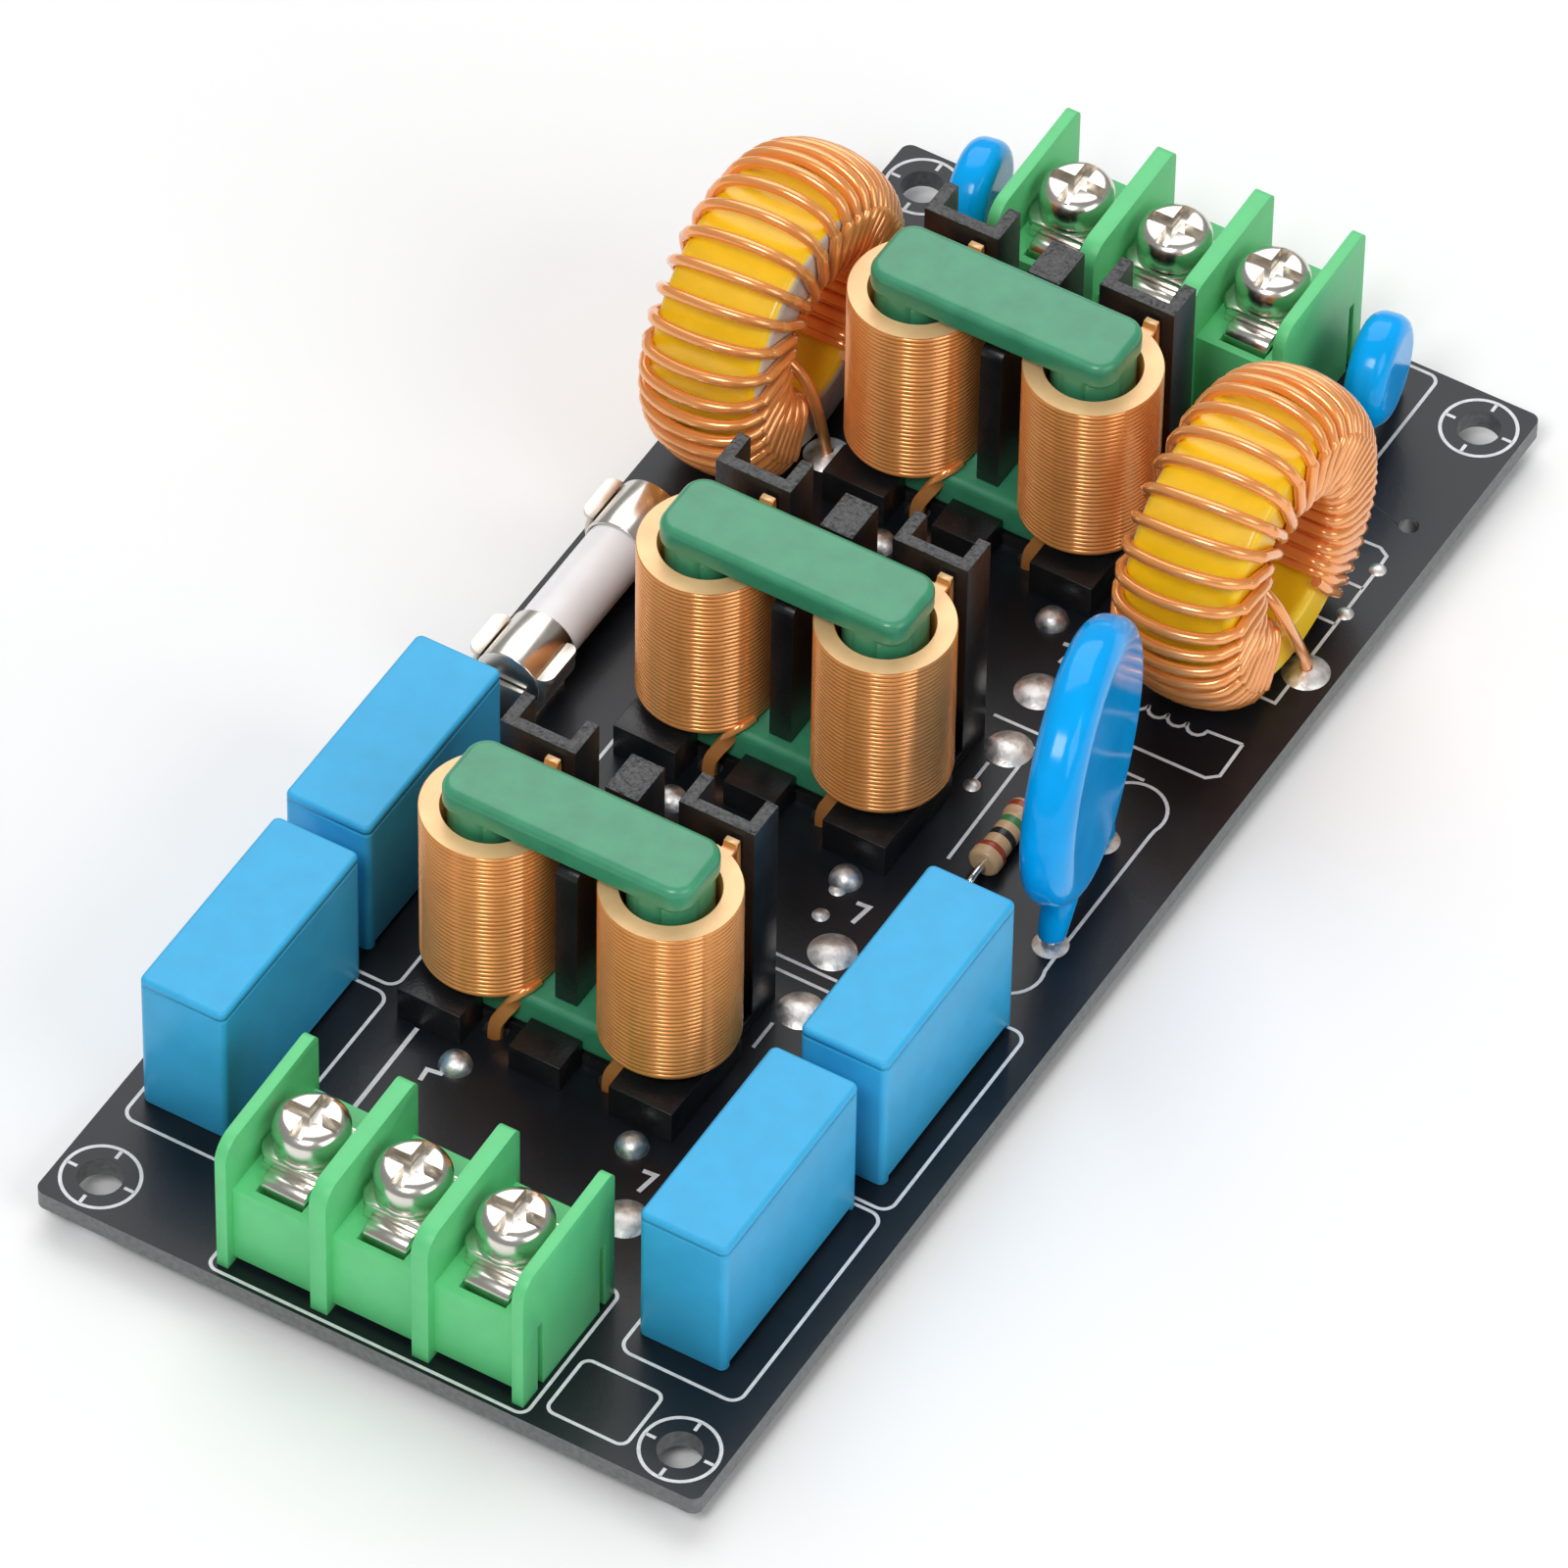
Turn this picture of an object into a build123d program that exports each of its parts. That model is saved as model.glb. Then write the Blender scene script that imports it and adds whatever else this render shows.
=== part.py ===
from build123d import *
import math
import os
from dataclasses import dataclass

# All lengths are in millimetres. X runs along the short edge of the board, Y along the long
# edge, Z up. The origin is the middle of the four mounting holes, on the board's underside.

# Circuit board
BOARD_WIDTH = 54.0
BOARD_LENGTH = 120.0
BOARD_THICKNESS = 1.6
BOARD_CORNER_RADIUS = 0.8
MOUNT_INSET = 3.4
MOUNT_HOLE_RADIUS = 1.65
SPARE_HOLE = (24.0, 45.4)
SPARE_HOLE_RADIUS = 0.75
BOARD_TOP = BOARD_THICKNESS

# Fits shared by every sub-assembly
LEAD_TAIL = 1.8
LEAD_HOLE_CLEARANCE = 0.1
SOLDER_CLEARANCE = 0.02
SLIDE_CLEARANCE = 0.05
SEAT_GAP = 0.1
TAIL_Z = -LEAD_TAIL

# Solder cones under the board and domes on top of it
CONE_HEIGHT = 1.1
CONE_SKIRT = 0.65
CONE_TIP = 0.15
LARGE_DOME_RADIUS = 1.8
LARGE_DOME_HEIGHT = 0.6
SMALL_DOME_RADIUS = 0.65
SMALL_DOME_HEIGHT = 0.25
FOOT_DOME_RADIUS = 1.25
FOOT_DOME_HEIGHT = 1.1
LEG_DOME_RADIUS = 1.35
LEG_DOME_HEIGHT = 0.35

# Barrier terminal blocks
POLE_PITCH = 8.25
POLE_COUNT = 3
BLOCK_FRONTS = {"front": -59.05, "rear": 46.4}
FIN_DEPTH = 12.1
FIN_FRONT_HEIGHT = 12.6
FIN_REAR_HEIGHT = 13.1
FIN_NOSE_RADIUS = 1.8
FIN_PEAK_RADIUS = 0.8
MID_FIN_THICKNESS = 1.35
END_FIN_THICKNESS = 0.9
BLOCK_END_MARGIN = 0.08
BLOCK_HALF_WIDTH = POLE_PITCH * POLE_COUNT / 2 + BLOCK_END_MARGIN
BODY_SETBACK = 0.85
BODY_REAR = 11.6
BODY_LIFT = 0.5
BODY_HEIGHT = 7.7
GROOVE_WIDTH = 0.7
GROOVE_DEPTH = 0.65
GROOVE_HEIGHT = 6.6
GROOVE_POSITIONS = (2.3, 10.5)
SCREW_Y = 5.95

# Contact strip, clamp washers and screw of one pole
STRIP_THICKNESS = 0.8
STRIP_WIDTH = 5.2
STRIP_FRONT = 3.4
STRIP_REAR = 9.4
LIP_WIDTH = 3.6
LIP_FRONT = 1.95
LIP_DROP = 1.3
LIP_RADIUS = 1.0
POCKET_FRONT = 1.5
POCKET_DEPTH = 1.6
PIN_WIDTH = 1.0
PIN_DEPTH = 0.8
PIN_Y = 9.0
CLAMP_WIDTH = 6.3
CLAMP_DEPTH = 5.2
CLAMP_END_RADIUS = 3.5
CLAMP_THICKNESS = 0.9
WASHER_RADIUS = 2.75
WASHER_THICKNESS = 0.7
SCREW_HEAD_RADIUS = 2.8
SCREW_HEAD_HEIGHT = 2.3
SCREW_HEAD_ROUND = 1.1
SCREW_SHANK_RADIUS = 1.45
SCREW_DEPTH = 5.2
RECESS_LENGTH = 4.4
RECESS_WIDTH = 1.0
RECESS_DEPTH = 1.2

# Box film capacitors
CASE_WIDTH = 7.0
CASE_LENGTH = 18.0
CASE_HEIGHT = 12.9
CASE_CORNER_RADIUS = 0.55
CASE_TOP_RADIUS = 0.35
CASE_FOOT_HEIGHT = 0.5
CASE_WALL = 0.8
FILM_LEAD_PITCH = 15.0
FILM_LEAD_RADIUS = 0.4
FILM_CAPACITORS = {
    "left_front": (-21.5, -40.1),
    "left_rear": (-22.1, -20.1),
    "right_front": (19.2, -40.2),
    "right_rear": (20.0, -20.0),
}

# Common-mode chokes
CHOKE_X = -2.5
CHOKE_MIDDLE_Y = 2.4
CHOKE_PITCH = 29.3
CHOKES = {
    "front": CHOKE_MIDDLE_Y - CHOKE_PITCH,
    "middle": CHOKE_MIDDLE_Y,
    "rear": CHOKE_MIDDLE_Y + CHOKE_PITCH,
}
CORE_LENGTH = 20.4
CORE_HEIGHT = 21.0
CORE_DEPTH = 6.2
CORE_FOOT_BAR = 3.1
CORE_TOP_BAR = 2.4
CORE_LEG = 5.8
CORE_LEG_RADIUS = 2.6
CORE_BAR_CORNER = 1.7
CORE_BAR_EDGE = 0.7
COIL_AXIS = (CORE_LENGTH - CORE_LEG) / 2
COIL_OUTER_RADIUS = 5.15
COIL_INNER_RADIUS = 3.6
COIL_TOP_DROP = 3.2
COIL_HEIGHT = CORE_HEIGHT - COIL_TOP_DROP - CORE_FOOT_BAR - SEAT_GAP
STRAP_WIDTH = 1.6
STRAP_THICKNESS = 0.5
STRAP_SLOT_CLEARANCE = 0.3
FRONT_STRAP_INWARD = 2.6
FRONT_STRAP_Y = -3.75
REAR_STRAP_OUTWARD = 1.6
REAR_STRAP_Y = 5.7
BASE_HALF_WIDTH = 11.3
BASE_THICKNESS = 0.9
BASE_FRONT = -3.2
BASE_REAR = 9.4
FOOT_FRONT = -6.3
FOOT_HEIGHT = 3.0
FOOT_INNER = 6.1
CENTRE_FOOT_HALF_WIDTH = 2.1
CENTRE_FOOT_HEIGHT = 2.4
END_WALL_HEIGHT = 1.9
POST_HALF_WIDTH = 3.1
POST_FRONT = 6.15
POST_WALL = 1.0
POST_HEIGHT = 19.9
CENTRE_POST_HALF_WIDTH = 1.35
CENTRE_POST_FRONT = 5.4
CENTRE_POST_REAR = 9.1
CENTRE_POST_HEIGHT = 18.9
DIVIDER_HALF_WIDTH = 0.9
DIVIDER_FRONT = -2.0
DIVIDER_TOP = 17.7
DIVIDER_ROUND = 0.8
FOOT_DOME_Y = -8.0
FOOT_DOME_X = (-5.4, 9.1)

# Toroidal inductors, standing with their axis along X
WIRE_RADIUS = 0.45
TOROID_LIFT = 11.4
TOROID_CROWN_RADIUS = 12.9
TOROID_HALF_WIDTH = 5.4
RING_OUTER_RADIUS = 10.3
RING_INNER_RADIUS = 6.1
RING_HALF_WIDTH = TOROID_HALF_WIDTH - 2 * WIRE_RADIUS
RING_EDGE_RADIUS = 0.7
SLEEVE_BORE_EDGE = 1.5
SLEEVE_SHOULDER = 2.2
SLEEVE_HALF_GAP = 30.0
SHOWN_LEAD_REACH = 5.5
SHOWN_LEAD_ROOT = (1.5, -3.1, -4.65)
SHOWN_LEAD_CREST = (4.95, -1.5, -5.6)
SHOWN_LEAD_FALL = (5.45, -8.2)
HIDDEN_LEAD_X = -2.5
HIDDEN_LEAD_Y = 6.2
HIDDEN_LEAD_RISE = 9.5
TOROIDS = {"left": (-21.2, 30.5, 29.4), "right": (19.2, 28.8, 28.9)}

# Disc components: varistor and the two small capacitors
VARISTOR_CENTRE = (21.2, 1.9)
VARISTOR_YAW = 10.0
VARISTOR_RADIUS = 10.6
VARISTOR_HALF_THICKNESS = 2.4
VARISTOR_EDGE = 1.9
VARISTOR_LIFT = 14.0
VARISTOR_LEAD_PITCH = 10.6
VARISTOR_LEAD_RADIUS = 0.4
VARISTOR_LEG_RADII = (1.7, 1.0)
VARISTOR_LEG_ROOT = (3.6, 8.4)
DISC_CAPACITORS = {"left": (-16.5, 52.3), "right": (17.3, 52.2)}
DISC_YAW = 10.0
DISC_RADIUS = 4.3
DISC_HALF_THICKNESS = 1.6
DISC_EDGE = 1.25
DISC_LIFT = 6.8
DISC_LEAD_PITCH = 10.0
DISC_LEAD_RADIUS = 0.3
DISC_LEG_RADII = (0.95, 0.6)
DISC_LEG_ROOT = (2.7, 2.2)
LEG_END_HEIGHT = 0.65
LEG_LEAD_EMBED = 1.2

# Cartridge fuse and its clips
FUSE_CENTRE = (-22.4, 5.7)
FUSE_AXIS_HEIGHT = 3.1
FUSE_LENGTH = 20.0
FUSE_TUBE_RADIUS = 2.4
FUSE_CAP_RADIUS = 2.65
FUSE_CAP_LENGTH = 5.0
FUSE_CAP_WALL = 0.2
CLIP_SHEET = 0.4
CLIP_WIDTH = 4.2
CLIP_INSET = 2.2
CLIP_OPENING = 65.0
CLIP_EAR = 0.7
CLIP_EAR_TILT = 80.0
CLIP_EAR_CORNER = 0.8
CLIP_BASE_HALF_WIDTH = 2.2
CLIP_WEB_HALF_WIDTH = 1.0
CLIP_STOP_HALF_WIDTH = 1.5
CLIP_PIN_WIDTH = 1.2
CLIP_PIN_DEPTH = 0.8

# Axial resistor
RESISTOR_CENTRE = (14.7, 2.85)
RESISTOR_LENGTH = 6.3
RESISTOR_END_RADIUS = 1.25
RESISTOR_WAIST_RADIUS = 1.05
RESISTOR_END_LENGTH = 1.6
RESISTOR_ROUND = 0.4
RESISTOR_LEAD_PITCH = 10.16
RESISTOR_LEAD_RADIUS = 0.3
RESISTOR_BEND = 0.8

# Bare solder pads on the top side
LARGE_PADS = ((10.2, 11.3), (9.3, -12.0), (10.2, -17.9), (9.6, -40.8), (9.2, 17.2))
SMALL_PADS = ((9.7, 6.9), (6.6, -6.7), (6.8, -9.4), (24.2, 40.4), (24.3, 35.4))


@dataclass(frozen=True)
class Lead:
    """One lead where it crosses the board: round when width_y is zero."""

    x: float
    y: float
    width_x: float
    width_y: float = 0.0

    def reach(self):
        """Distance from the lead's centre to its farthest side."""
        if self.width_y:
            return math.hypot(self.width_x, self.width_y) / 2
        return self.width_x / 2

    def solid(self, low, high, grow=0.0):
        """The lead between two heights, made larger all round by grow."""
        place = Pos(self.x, self.y, (low + high) / 2)
        if self.width_y:
            return place * Box(self.width_x + 2 * grow, self.width_y + 2 * grow, high - low)
        return place * Cylinder(self.width_x / 2 + grow, high - low)


def block_between(x_low, x_high, y_low, y_high, z_low, z_high):
    """A plain block given by its limits along each axis."""
    return Pos((x_low + x_high) / 2, (y_low + y_high) / 2, (z_low + z_high) / 2) * Box(
        x_high - x_low, y_high - y_low, z_high - z_low
    )


def pole_positions():
    """Centre of each terminal pole along X."""
    middle = (POLE_COUNT - 1) / 2
    return [POLE_PITCH * (index - middle) for index in range(POLE_COUNT)]


def terminal_leads():
    """Solder pins of the two terminal blocks."""
    return [
        Lead(x, front + PIN_Y, PIN_WIDTH, PIN_DEPTH)
        for front in BLOCK_FRONTS.values()
        for x in pole_positions()
    ]


def film_leads(x, y):
    """The two leads of one box capacitor."""
    return [Lead(x, y + side * FILM_LEAD_PITCH / 2, 2 * FILM_LEAD_RADIUS) for side in (-1, 1)]


def strap_leads(y, side):
    """Front and rear flat-wire ends of one coil; side is -1 for the left coil and 1 for the right."""
    axis = CHOKE_X + side * COIL_AXIS
    return [
        Lead(axis - side * FRONT_STRAP_INWARD, y + FRONT_STRAP_Y, STRAP_WIDTH, STRAP_THICKNESS),
        Lead(axis + REAR_STRAP_OUTWARD, y + REAR_STRAP_Y, STRAP_WIDTH, STRAP_THICKNESS),
    ]


def toroid_leads(x, y, shown_y):
    """Leads of one toroid: the shown one beside its right face, the hidden one under the ring."""
    return [
        Lead(x + SHOWN_LEAD_REACH, shown_y, 2 * WIRE_RADIUS),
        Lead(x + HIDDEN_LEAD_X, y + HIDDEN_LEAD_Y, 2 * WIRE_RADIUS),
    ]


def disc_leads(centre, yaw, pitch, radius):
    """Leads of one disc component, spaced along the plane of its disc."""
    angle = math.radians(yaw)
    half = pitch / 2
    return [
        Lead(centre[0] - side * half * math.sin(angle), centre[1] + side * half * math.cos(angle), 2 * radius)
        for side in (-1, 1)
    ]


def clip_positions():
    """Middle of the two fuse clips along Y, and which end of the fuse each one holds."""
    reach = FUSE_LENGTH / 2 - CLIP_INSET
    return [(FUSE_CENTRE[1] + end * reach, end) for end in (-1, 1)]


def clip_leads():
    """Solder tabs of the fuse clips."""
    return [Lead(FUSE_CENTRE[0], y, CLIP_PIN_WIDTH, CLIP_PIN_DEPTH) for y, end in clip_positions()]


def resistor_leads():
    """The two leads of the resistor."""
    x, y = RESISTOR_CENTRE
    return [Lead(x, y + side * RESISTOR_LEAD_PITCH / 2, 2 * RESISTOR_LEAD_RADIUS) for side in (-1, 1)]


def varistor_leads():
    """The two leads of the varistor."""
    return disc_leads(VARISTOR_CENTRE, VARISTOR_YAW, VARISTOR_LEAD_PITCH, VARISTOR_LEAD_RADIUS)


def small_disc_leads(centre):
    """The two leads of one small disc capacitor."""
    return disc_leads(centre, DISC_YAW, DISC_LEAD_PITCH, DISC_LEAD_RADIUS)


def all_leads():
    """Every lead that crosses the board."""
    leads = terminal_leads() + clip_leads() + resistor_leads() + varistor_leads()
    for x, y in FILM_CAPACITORS.values():
        leads += film_leads(x, y)
    for y in CHOKES.values():
        leads += strap_leads(y, -1) + strap_leads(y, 1)
    for toroid in TOROIDS.values():
        leads += toroid_leads(*toroid)
    for centre in DISC_CAPACITORS.values():
        leads += small_disc_leads(centre)
    return leads


def build_circuit_board():
    """The laminate with its mounting holes, lead holes and one unused hole."""
    board = Box(BOARD_WIDTH, BOARD_LENGTH, BOARD_THICKNESS)
    board = fillet(board.edges().filter_by(Axis.Z), BOARD_CORNER_RADIUS)
    board = Pos(0, 0, BOARD_THICKNESS / 2) * board
    holes = [Lead(x, y, 2 * MOUNT_HOLE_RADIUS) for x, y in mount_positions()]
    holes.append(Lead(*SPARE_HOLE, 2 * SPARE_HOLE_RADIUS))
    holes += [Lead(lead.x, lead.y, 2 * (lead.reach() + LEAD_HOLE_CLEARANCE)) for lead in all_leads()]
    return board - [hole.solid(0, BOARD_THICKNESS) for hole in holes]


def mount_positions():
    """Centres of the four mounting holes."""
    reach_x = BOARD_WIDTH / 2 - MOUNT_INSET
    reach_y = BOARD_LENGTH / 2 - MOUNT_INSET
    return [(side_x * reach_x, side_y * reach_y) for side_x in (-1, 1) for side_y in (-1, 1)]


def build_solder_cones():
    """One cone round each trimmed lead on the underside."""
    cones = []
    for lead in all_leads():
        skirt = lead.reach() + CONE_SKIRT
        tip = lead.reach() + CONE_TIP
        cone = Pos(lead.x, lead.y, -CONE_HEIGHT / 2) * Cone(tip, skirt, CONE_HEIGHT)
        cones.append(cone - lead.solid(TAIL_Z, BOARD_TOP, SOLDER_CLEARANCE))
    return Compound(children=cones)


def dome(x, y, radius, height, lead=None):
    """A spherical cap of solder on the board, with a hole for a lead that rises through it."""
    sphere_radius = (radius * radius + height * height) / (2 * height)
    ball = Pos(x, y, BOARD_TOP + height - sphere_radius) * Sphere(sphere_radius)
    cap = ball & block_between(
        x - radius, x + radius, y - radius, y + radius, BOARD_TOP, BOARD_TOP + height
    )
    if lead:
        cap -= lead.solid(BOARD_TOP, BOARD_TOP + 2 * height, SOLDER_CLEARANCE)
    return cap


def build_solder_domes():
    """Solder on the top side: bare pads and the joints round leads."""
    domes = [dome(x, y, LARGE_DOME_RADIUS, LARGE_DOME_HEIGHT) for x, y in LARGE_PADS]
    domes += [dome(x, y, SMALL_DOME_RADIUS, SMALL_DOME_HEIGHT) for x, y in SMALL_PADS]
    for y in CHOKES.values():
        for x in FOOT_DOME_X:
            domes.append(dome(CHOKE_X + x, y + FOOT_DOME_Y, FOOT_DOME_RADIUS, FOOT_DOME_HEIGHT))
    for toroid in TOROIDS.values():
        lead = toroid_leads(*toroid)[0]
        domes.append(dome(lead.x, lead.y, LARGE_DOME_RADIUS, LARGE_DOME_HEIGHT, lead))
    for lead in varistor_leads():
        domes.append(dome(lead.x, lead.y, LEG_DOME_RADIUS, LEG_DOME_HEIGHT, lead))
    return Compound(children=domes)


def fin_profile():
    """Side view of one dividing fin, rising a little towards the rear."""
    outline = Polyline(
        (0, 0),
        (FIN_DEPTH, 0),
        (FIN_DEPTH, FIN_REAR_HEIGHT),
        (0, FIN_FRONT_HEIGHT),
        close=True,
    )
    face = make_face(Plane.YZ * outline)
    nose = face.vertices().sort_by(Axis.Z)[-2]
    face = fillet(nose, FIN_NOSE_RADIUS)
    peak = face.vertices().sort_by(Axis.Z)[-1]
    return fillet(peak, FIN_PEAK_RADIUS)


def build_terminal_housing():
    """Moulded housing of one block, with its front foot at y = 0 on the board."""
    ends = BLOCK_HALF_WIDTH
    body = block_between(-ends, ends, BODY_SETBACK, BODY_REAR, BODY_LIFT, BODY_HEIGHT)
    middles = [POLE_PITCH * (index - POLE_COUNT / 2) for index in range(1, POLE_COUNT)]
    fins = [(x, MID_FIN_THICKNESS) for x in middles]
    fins += [(side * (ends - END_FIN_THICKNESS / 2), END_FIN_THICKNESS) for side in (-1, 1)]
    for x, thickness in fins:
        fin = extrude(fin_profile(), thickness / 2, both=True)
        body += Pos(x, 0, 0) * fin
    for side in (-1, 1):
        for y in GROOVE_POSITIONS:
            body -= block_between(
                side * ends - GROOVE_DEPTH, side * ends + GROOVE_DEPTH,
                y - GROOVE_WIDTH / 2, y + GROOVE_WIDTH / 2, 0, GROOVE_HEIGHT,
            )
    bore = SCREW_SHANK_RADIUS + SLIDE_CLEARANCE
    half_lip = LIP_WIDTH / 2 + SEAT_GAP
    half_pin = PIN_WIDTH / 2 + SLIDE_CLEARANCE
    half_pin_depth = PIN_DEPTH / 2 + SLIDE_CLEARANCE
    for x in pole_positions():
        body -= Pos(x, SCREW_Y, BODY_HEIGHT - SCREW_DEPTH / 2) * Cylinder(bore, SCREW_DEPTH)
        body -= block_between(
            x - half_lip, x + half_lip, POCKET_FRONT, STRIP_FRONT,
            BODY_HEIGHT - POCKET_DEPTH, BODY_HEIGHT,
        )
        body -= block_between(
            x - half_pin, x + half_pin, PIN_Y - half_pin_depth, PIN_Y + half_pin_depth, 0, BODY_HEIGHT
        )
    return body


def build_contact():
    """Contact strip of one pole: a plate whose front lip rolls down, and a solder pin."""
    top = BODY_HEIGHT + STRIP_THICKNESS
    outline = Polyline(
        (STRIP_REAR, BODY_HEIGHT),
        (STRIP_REAR, top),
        (LIP_FRONT, top),
        (LIP_FRONT, BODY_HEIGHT - LIP_DROP),
        (LIP_FRONT + STRIP_THICKNESS, BODY_HEIGHT - LIP_DROP),
        (LIP_FRONT + STRIP_THICKNESS, BODY_HEIGHT),
        close=True,
    )
    face = make_face(Plane.YZ * outline)
    corner = face.vertices().filter_by(
        lambda vertex: abs(vertex.Y - LIP_FRONT) < SLIDE_CLEARANCE and vertex.Z > BODY_HEIGHT
    )
    strip = extrude(fillet(corner, LIP_RADIUS), LIP_WIDTH / 2, both=True)
    half = STRIP_WIDTH / 2
    strip += block_between(-half, half, STRIP_FRONT, STRIP_REAR, BODY_HEIGHT, top)
    strip += Lead(0, PIN_Y, PIN_WIDTH, PIN_DEPTH).solid(TAIL_Z - BOARD_TOP, BODY_HEIGHT)
    bore = SCREW_SHANK_RADIUS + SLIDE_CLEARANCE
    return strip - Pos(0, SCREW_Y, BODY_HEIGHT) * Cylinder(bore, 2 * top)


def build_clamp_washers():
    """Square clamp plate with rounded ends, and the round washer on it."""
    low = BODY_HEIGHT + STRIP_THICKNESS
    bore = SCREW_SHANK_RADIUS + SLIDE_CLEARANCE
    middle = low + CLAMP_THICKNESS / 2
    plate = Pos(0, SCREW_Y, middle) * Box(CLAMP_WIDTH, CLAMP_DEPTH, CLAMP_THICKNESS)
    plate &= Pos(0, SCREW_Y, middle) * Cylinder(CLAMP_END_RADIUS, CLAMP_THICKNESS)
    plate -= Pos(0, SCREW_Y, middle) * Cylinder(bore, CLAMP_THICKNESS)
    height = low + CLAMP_THICKNESS + WASHER_THICKNESS / 2
    washer = Pos(0, SCREW_Y, height) * Cylinder(WASHER_RADIUS, WASHER_THICKNESS)
    washer -= Pos(0, SCREW_Y, height) * Cylinder(bore, WASHER_THICKNESS)
    return Compound(children=[plate, washer])


def build_terminal_screw():
    """Pan-head screw with a cross recess, its shank reaching into the housing."""
    seat = BODY_HEIGHT + STRIP_THICKNESS + CLAMP_THICKNESS + WASHER_THICKNESS
    head = Pos(0, SCREW_Y, seat + SCREW_HEAD_HEIGHT / 2) * Cylinder(SCREW_HEAD_RADIUS, SCREW_HEAD_HEIGHT)
    head = fillet(head.edges().sort_by(Axis.Z)[-1], SCREW_HEAD_ROUND)
    recess_height = seat + SCREW_HEAD_HEIGHT - RECESS_DEPTH / 2
    for width, depth in ((RECESS_LENGTH, RECESS_WIDTH), (RECESS_WIDTH, RECESS_LENGTH)):
        head -= Pos(0, SCREW_Y, recess_height) * Box(width, depth, RECESS_DEPTH)
    bottom = BODY_HEIGHT - SCREW_DEPTH + SEAT_GAP
    return head + Pos(0, SCREW_Y, (bottom + seat) / 2) * Cylinder(SCREW_SHANK_RADIUS, seat - bottom)


def build_film_case():
    """Moulded box of one film capacitor, standing on two end feet."""
    case = Box(CASE_WIDTH, CASE_LENGTH, CASE_HEIGHT)
    case = fillet(case.edges().filter_by(Axis.Z), CASE_CORNER_RADIUS)
    case = fillet(case.edges().group_by(Axis.Z)[-1], CASE_TOP_RADIUS)
    case = Pos(0, 0, CASE_HEIGHT / 2) * case
    reach = CASE_LENGTH / 2 - CASE_WALL
    return case - block_between(-CASE_WIDTH, CASE_WIDTH, -reach, reach, 0, CASE_FOOT_HEIGHT)


def round_lead(lead, high):
    """A straight round or flat lead from its trimmed end up to a height above the board."""
    return lead.solid(TAIL_Z, BOARD_TOP + high)


def build_film_leads(x, y):
    """Both leads of one film capacitor."""
    return Compound(children=[round_lead(lead, CASE_FOOT_HEIGHT) for lead in film_leads(x, y)])


def rounded_bar(height):
    """One bar of a core, rounded all over by its coating, centred on the origin."""
    bar = Box(CORE_LENGTH, CORE_DEPTH, height)
    bar = fillet(bar.edges().filter_by(Axis.Z), CORE_BAR_CORNER)
    flats = bar.edges().group_by(Axis.Z)
    return fillet(flats[0] + flats[-1], CORE_BAR_EDGE)


def build_choke_core():
    """Closed upright core: two bars joined by two legs, standing on z = 0."""
    foot_middle = CORE_FOOT_BAR / 2
    top_middle = CORE_HEIGHT - CORE_TOP_BAR / 2
    core = Pos(0, 0, foot_middle) * rounded_bar(CORE_FOOT_BAR)
    core += Pos(0, 0, top_middle) * rounded_bar(CORE_TOP_BAR)
    for side in (-1, 1):
        leg = Box(CORE_LEG, CORE_DEPTH, top_middle - foot_middle)
        leg = fillet(leg.edges().filter_by(Axis.Z), CORE_LEG_RADIUS)
        core += Pos(side * COIL_AXIS, 0, (foot_middle + top_middle) / 2) * leg
    return core


def build_choke_base():
    """Base with feet, rear wire posts and the divider between the coils, standing on z = 0."""
    width = BASE_HALF_WIDTH
    base = block_between(-width, width, BASE_FRONT, -BASE_FRONT, 0, BASE_THICKNESS)
    rear_width = COIL_AXIS + POST_HALF_WIDTH
    base += block_between(-rear_width, rear_width, -BASE_FRONT, BASE_REAR, 0, BASE_THICKNESS)
    centre = CENTRE_FOOT_HALF_WIDTH
    base += block_between(-centre, centre, FOOT_FRONT, BASE_FRONT, 0, CENTRE_FOOT_HEIGHT)
    for side in (-1, 1):
        inner, outer = sorted((side * FOOT_INNER, side * width))
        base += block_between(inner, outer, FOOT_FRONT, BASE_FRONT, 0, FOOT_HEIGHT)
        wall, end = sorted((side * (CORE_LENGTH / 2 + SEAT_GAP), side * width))
        base += block_between(wall, end, BASE_FRONT, -BASE_FRONT, 0, BASE_THICKNESS + END_WALL_HEIGHT)
        left = side * COIL_AXIS - POST_HALF_WIDTH
        right = side * COIL_AXIS + POST_HALF_WIDTH
        base += block_between(left, right, POST_FRONT, BASE_REAR, 0, POST_HEIGHT)
        base -= block_between(
            left + POST_WALL, right - POST_WALL, POST_FRONT + POST_WALL, BASE_REAR,
            BASE_THICKNESS, POST_HEIGHT,
        )
    post = CENTRE_POST_HALF_WIDTH
    base += block_between(-post, post, CENTRE_POST_FRONT, CENTRE_POST_REAR, 0, CENTRE_POST_HEIGHT)
    low = BASE_THICKNESS + CORE_FOOT_BAR + SEAT_GAP
    divider = block_between(
        -DIVIDER_HALF_WIDTH, DIVIDER_HALF_WIDTH, DIVIDER_FRONT, CENTRE_POST_FRONT, low, DIVIDER_TOP
    )
    base += fillet(divider.edges().filter_by(Axis.X).group_by(Axis.Y)[0].sort_by(Axis.Z)[-1], DIVIDER_ROUND)
    for side in (-1, 1):
        for lead in strap_leads(0, side):
            slot = Lead(lead.x - CHOKE_X, lead.y, lead.width_x, lead.width_y)
            base -= slot.solid(0, BASE_THICKNESS, STRAP_SLOT_CLEARANCE)
    return base


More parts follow.
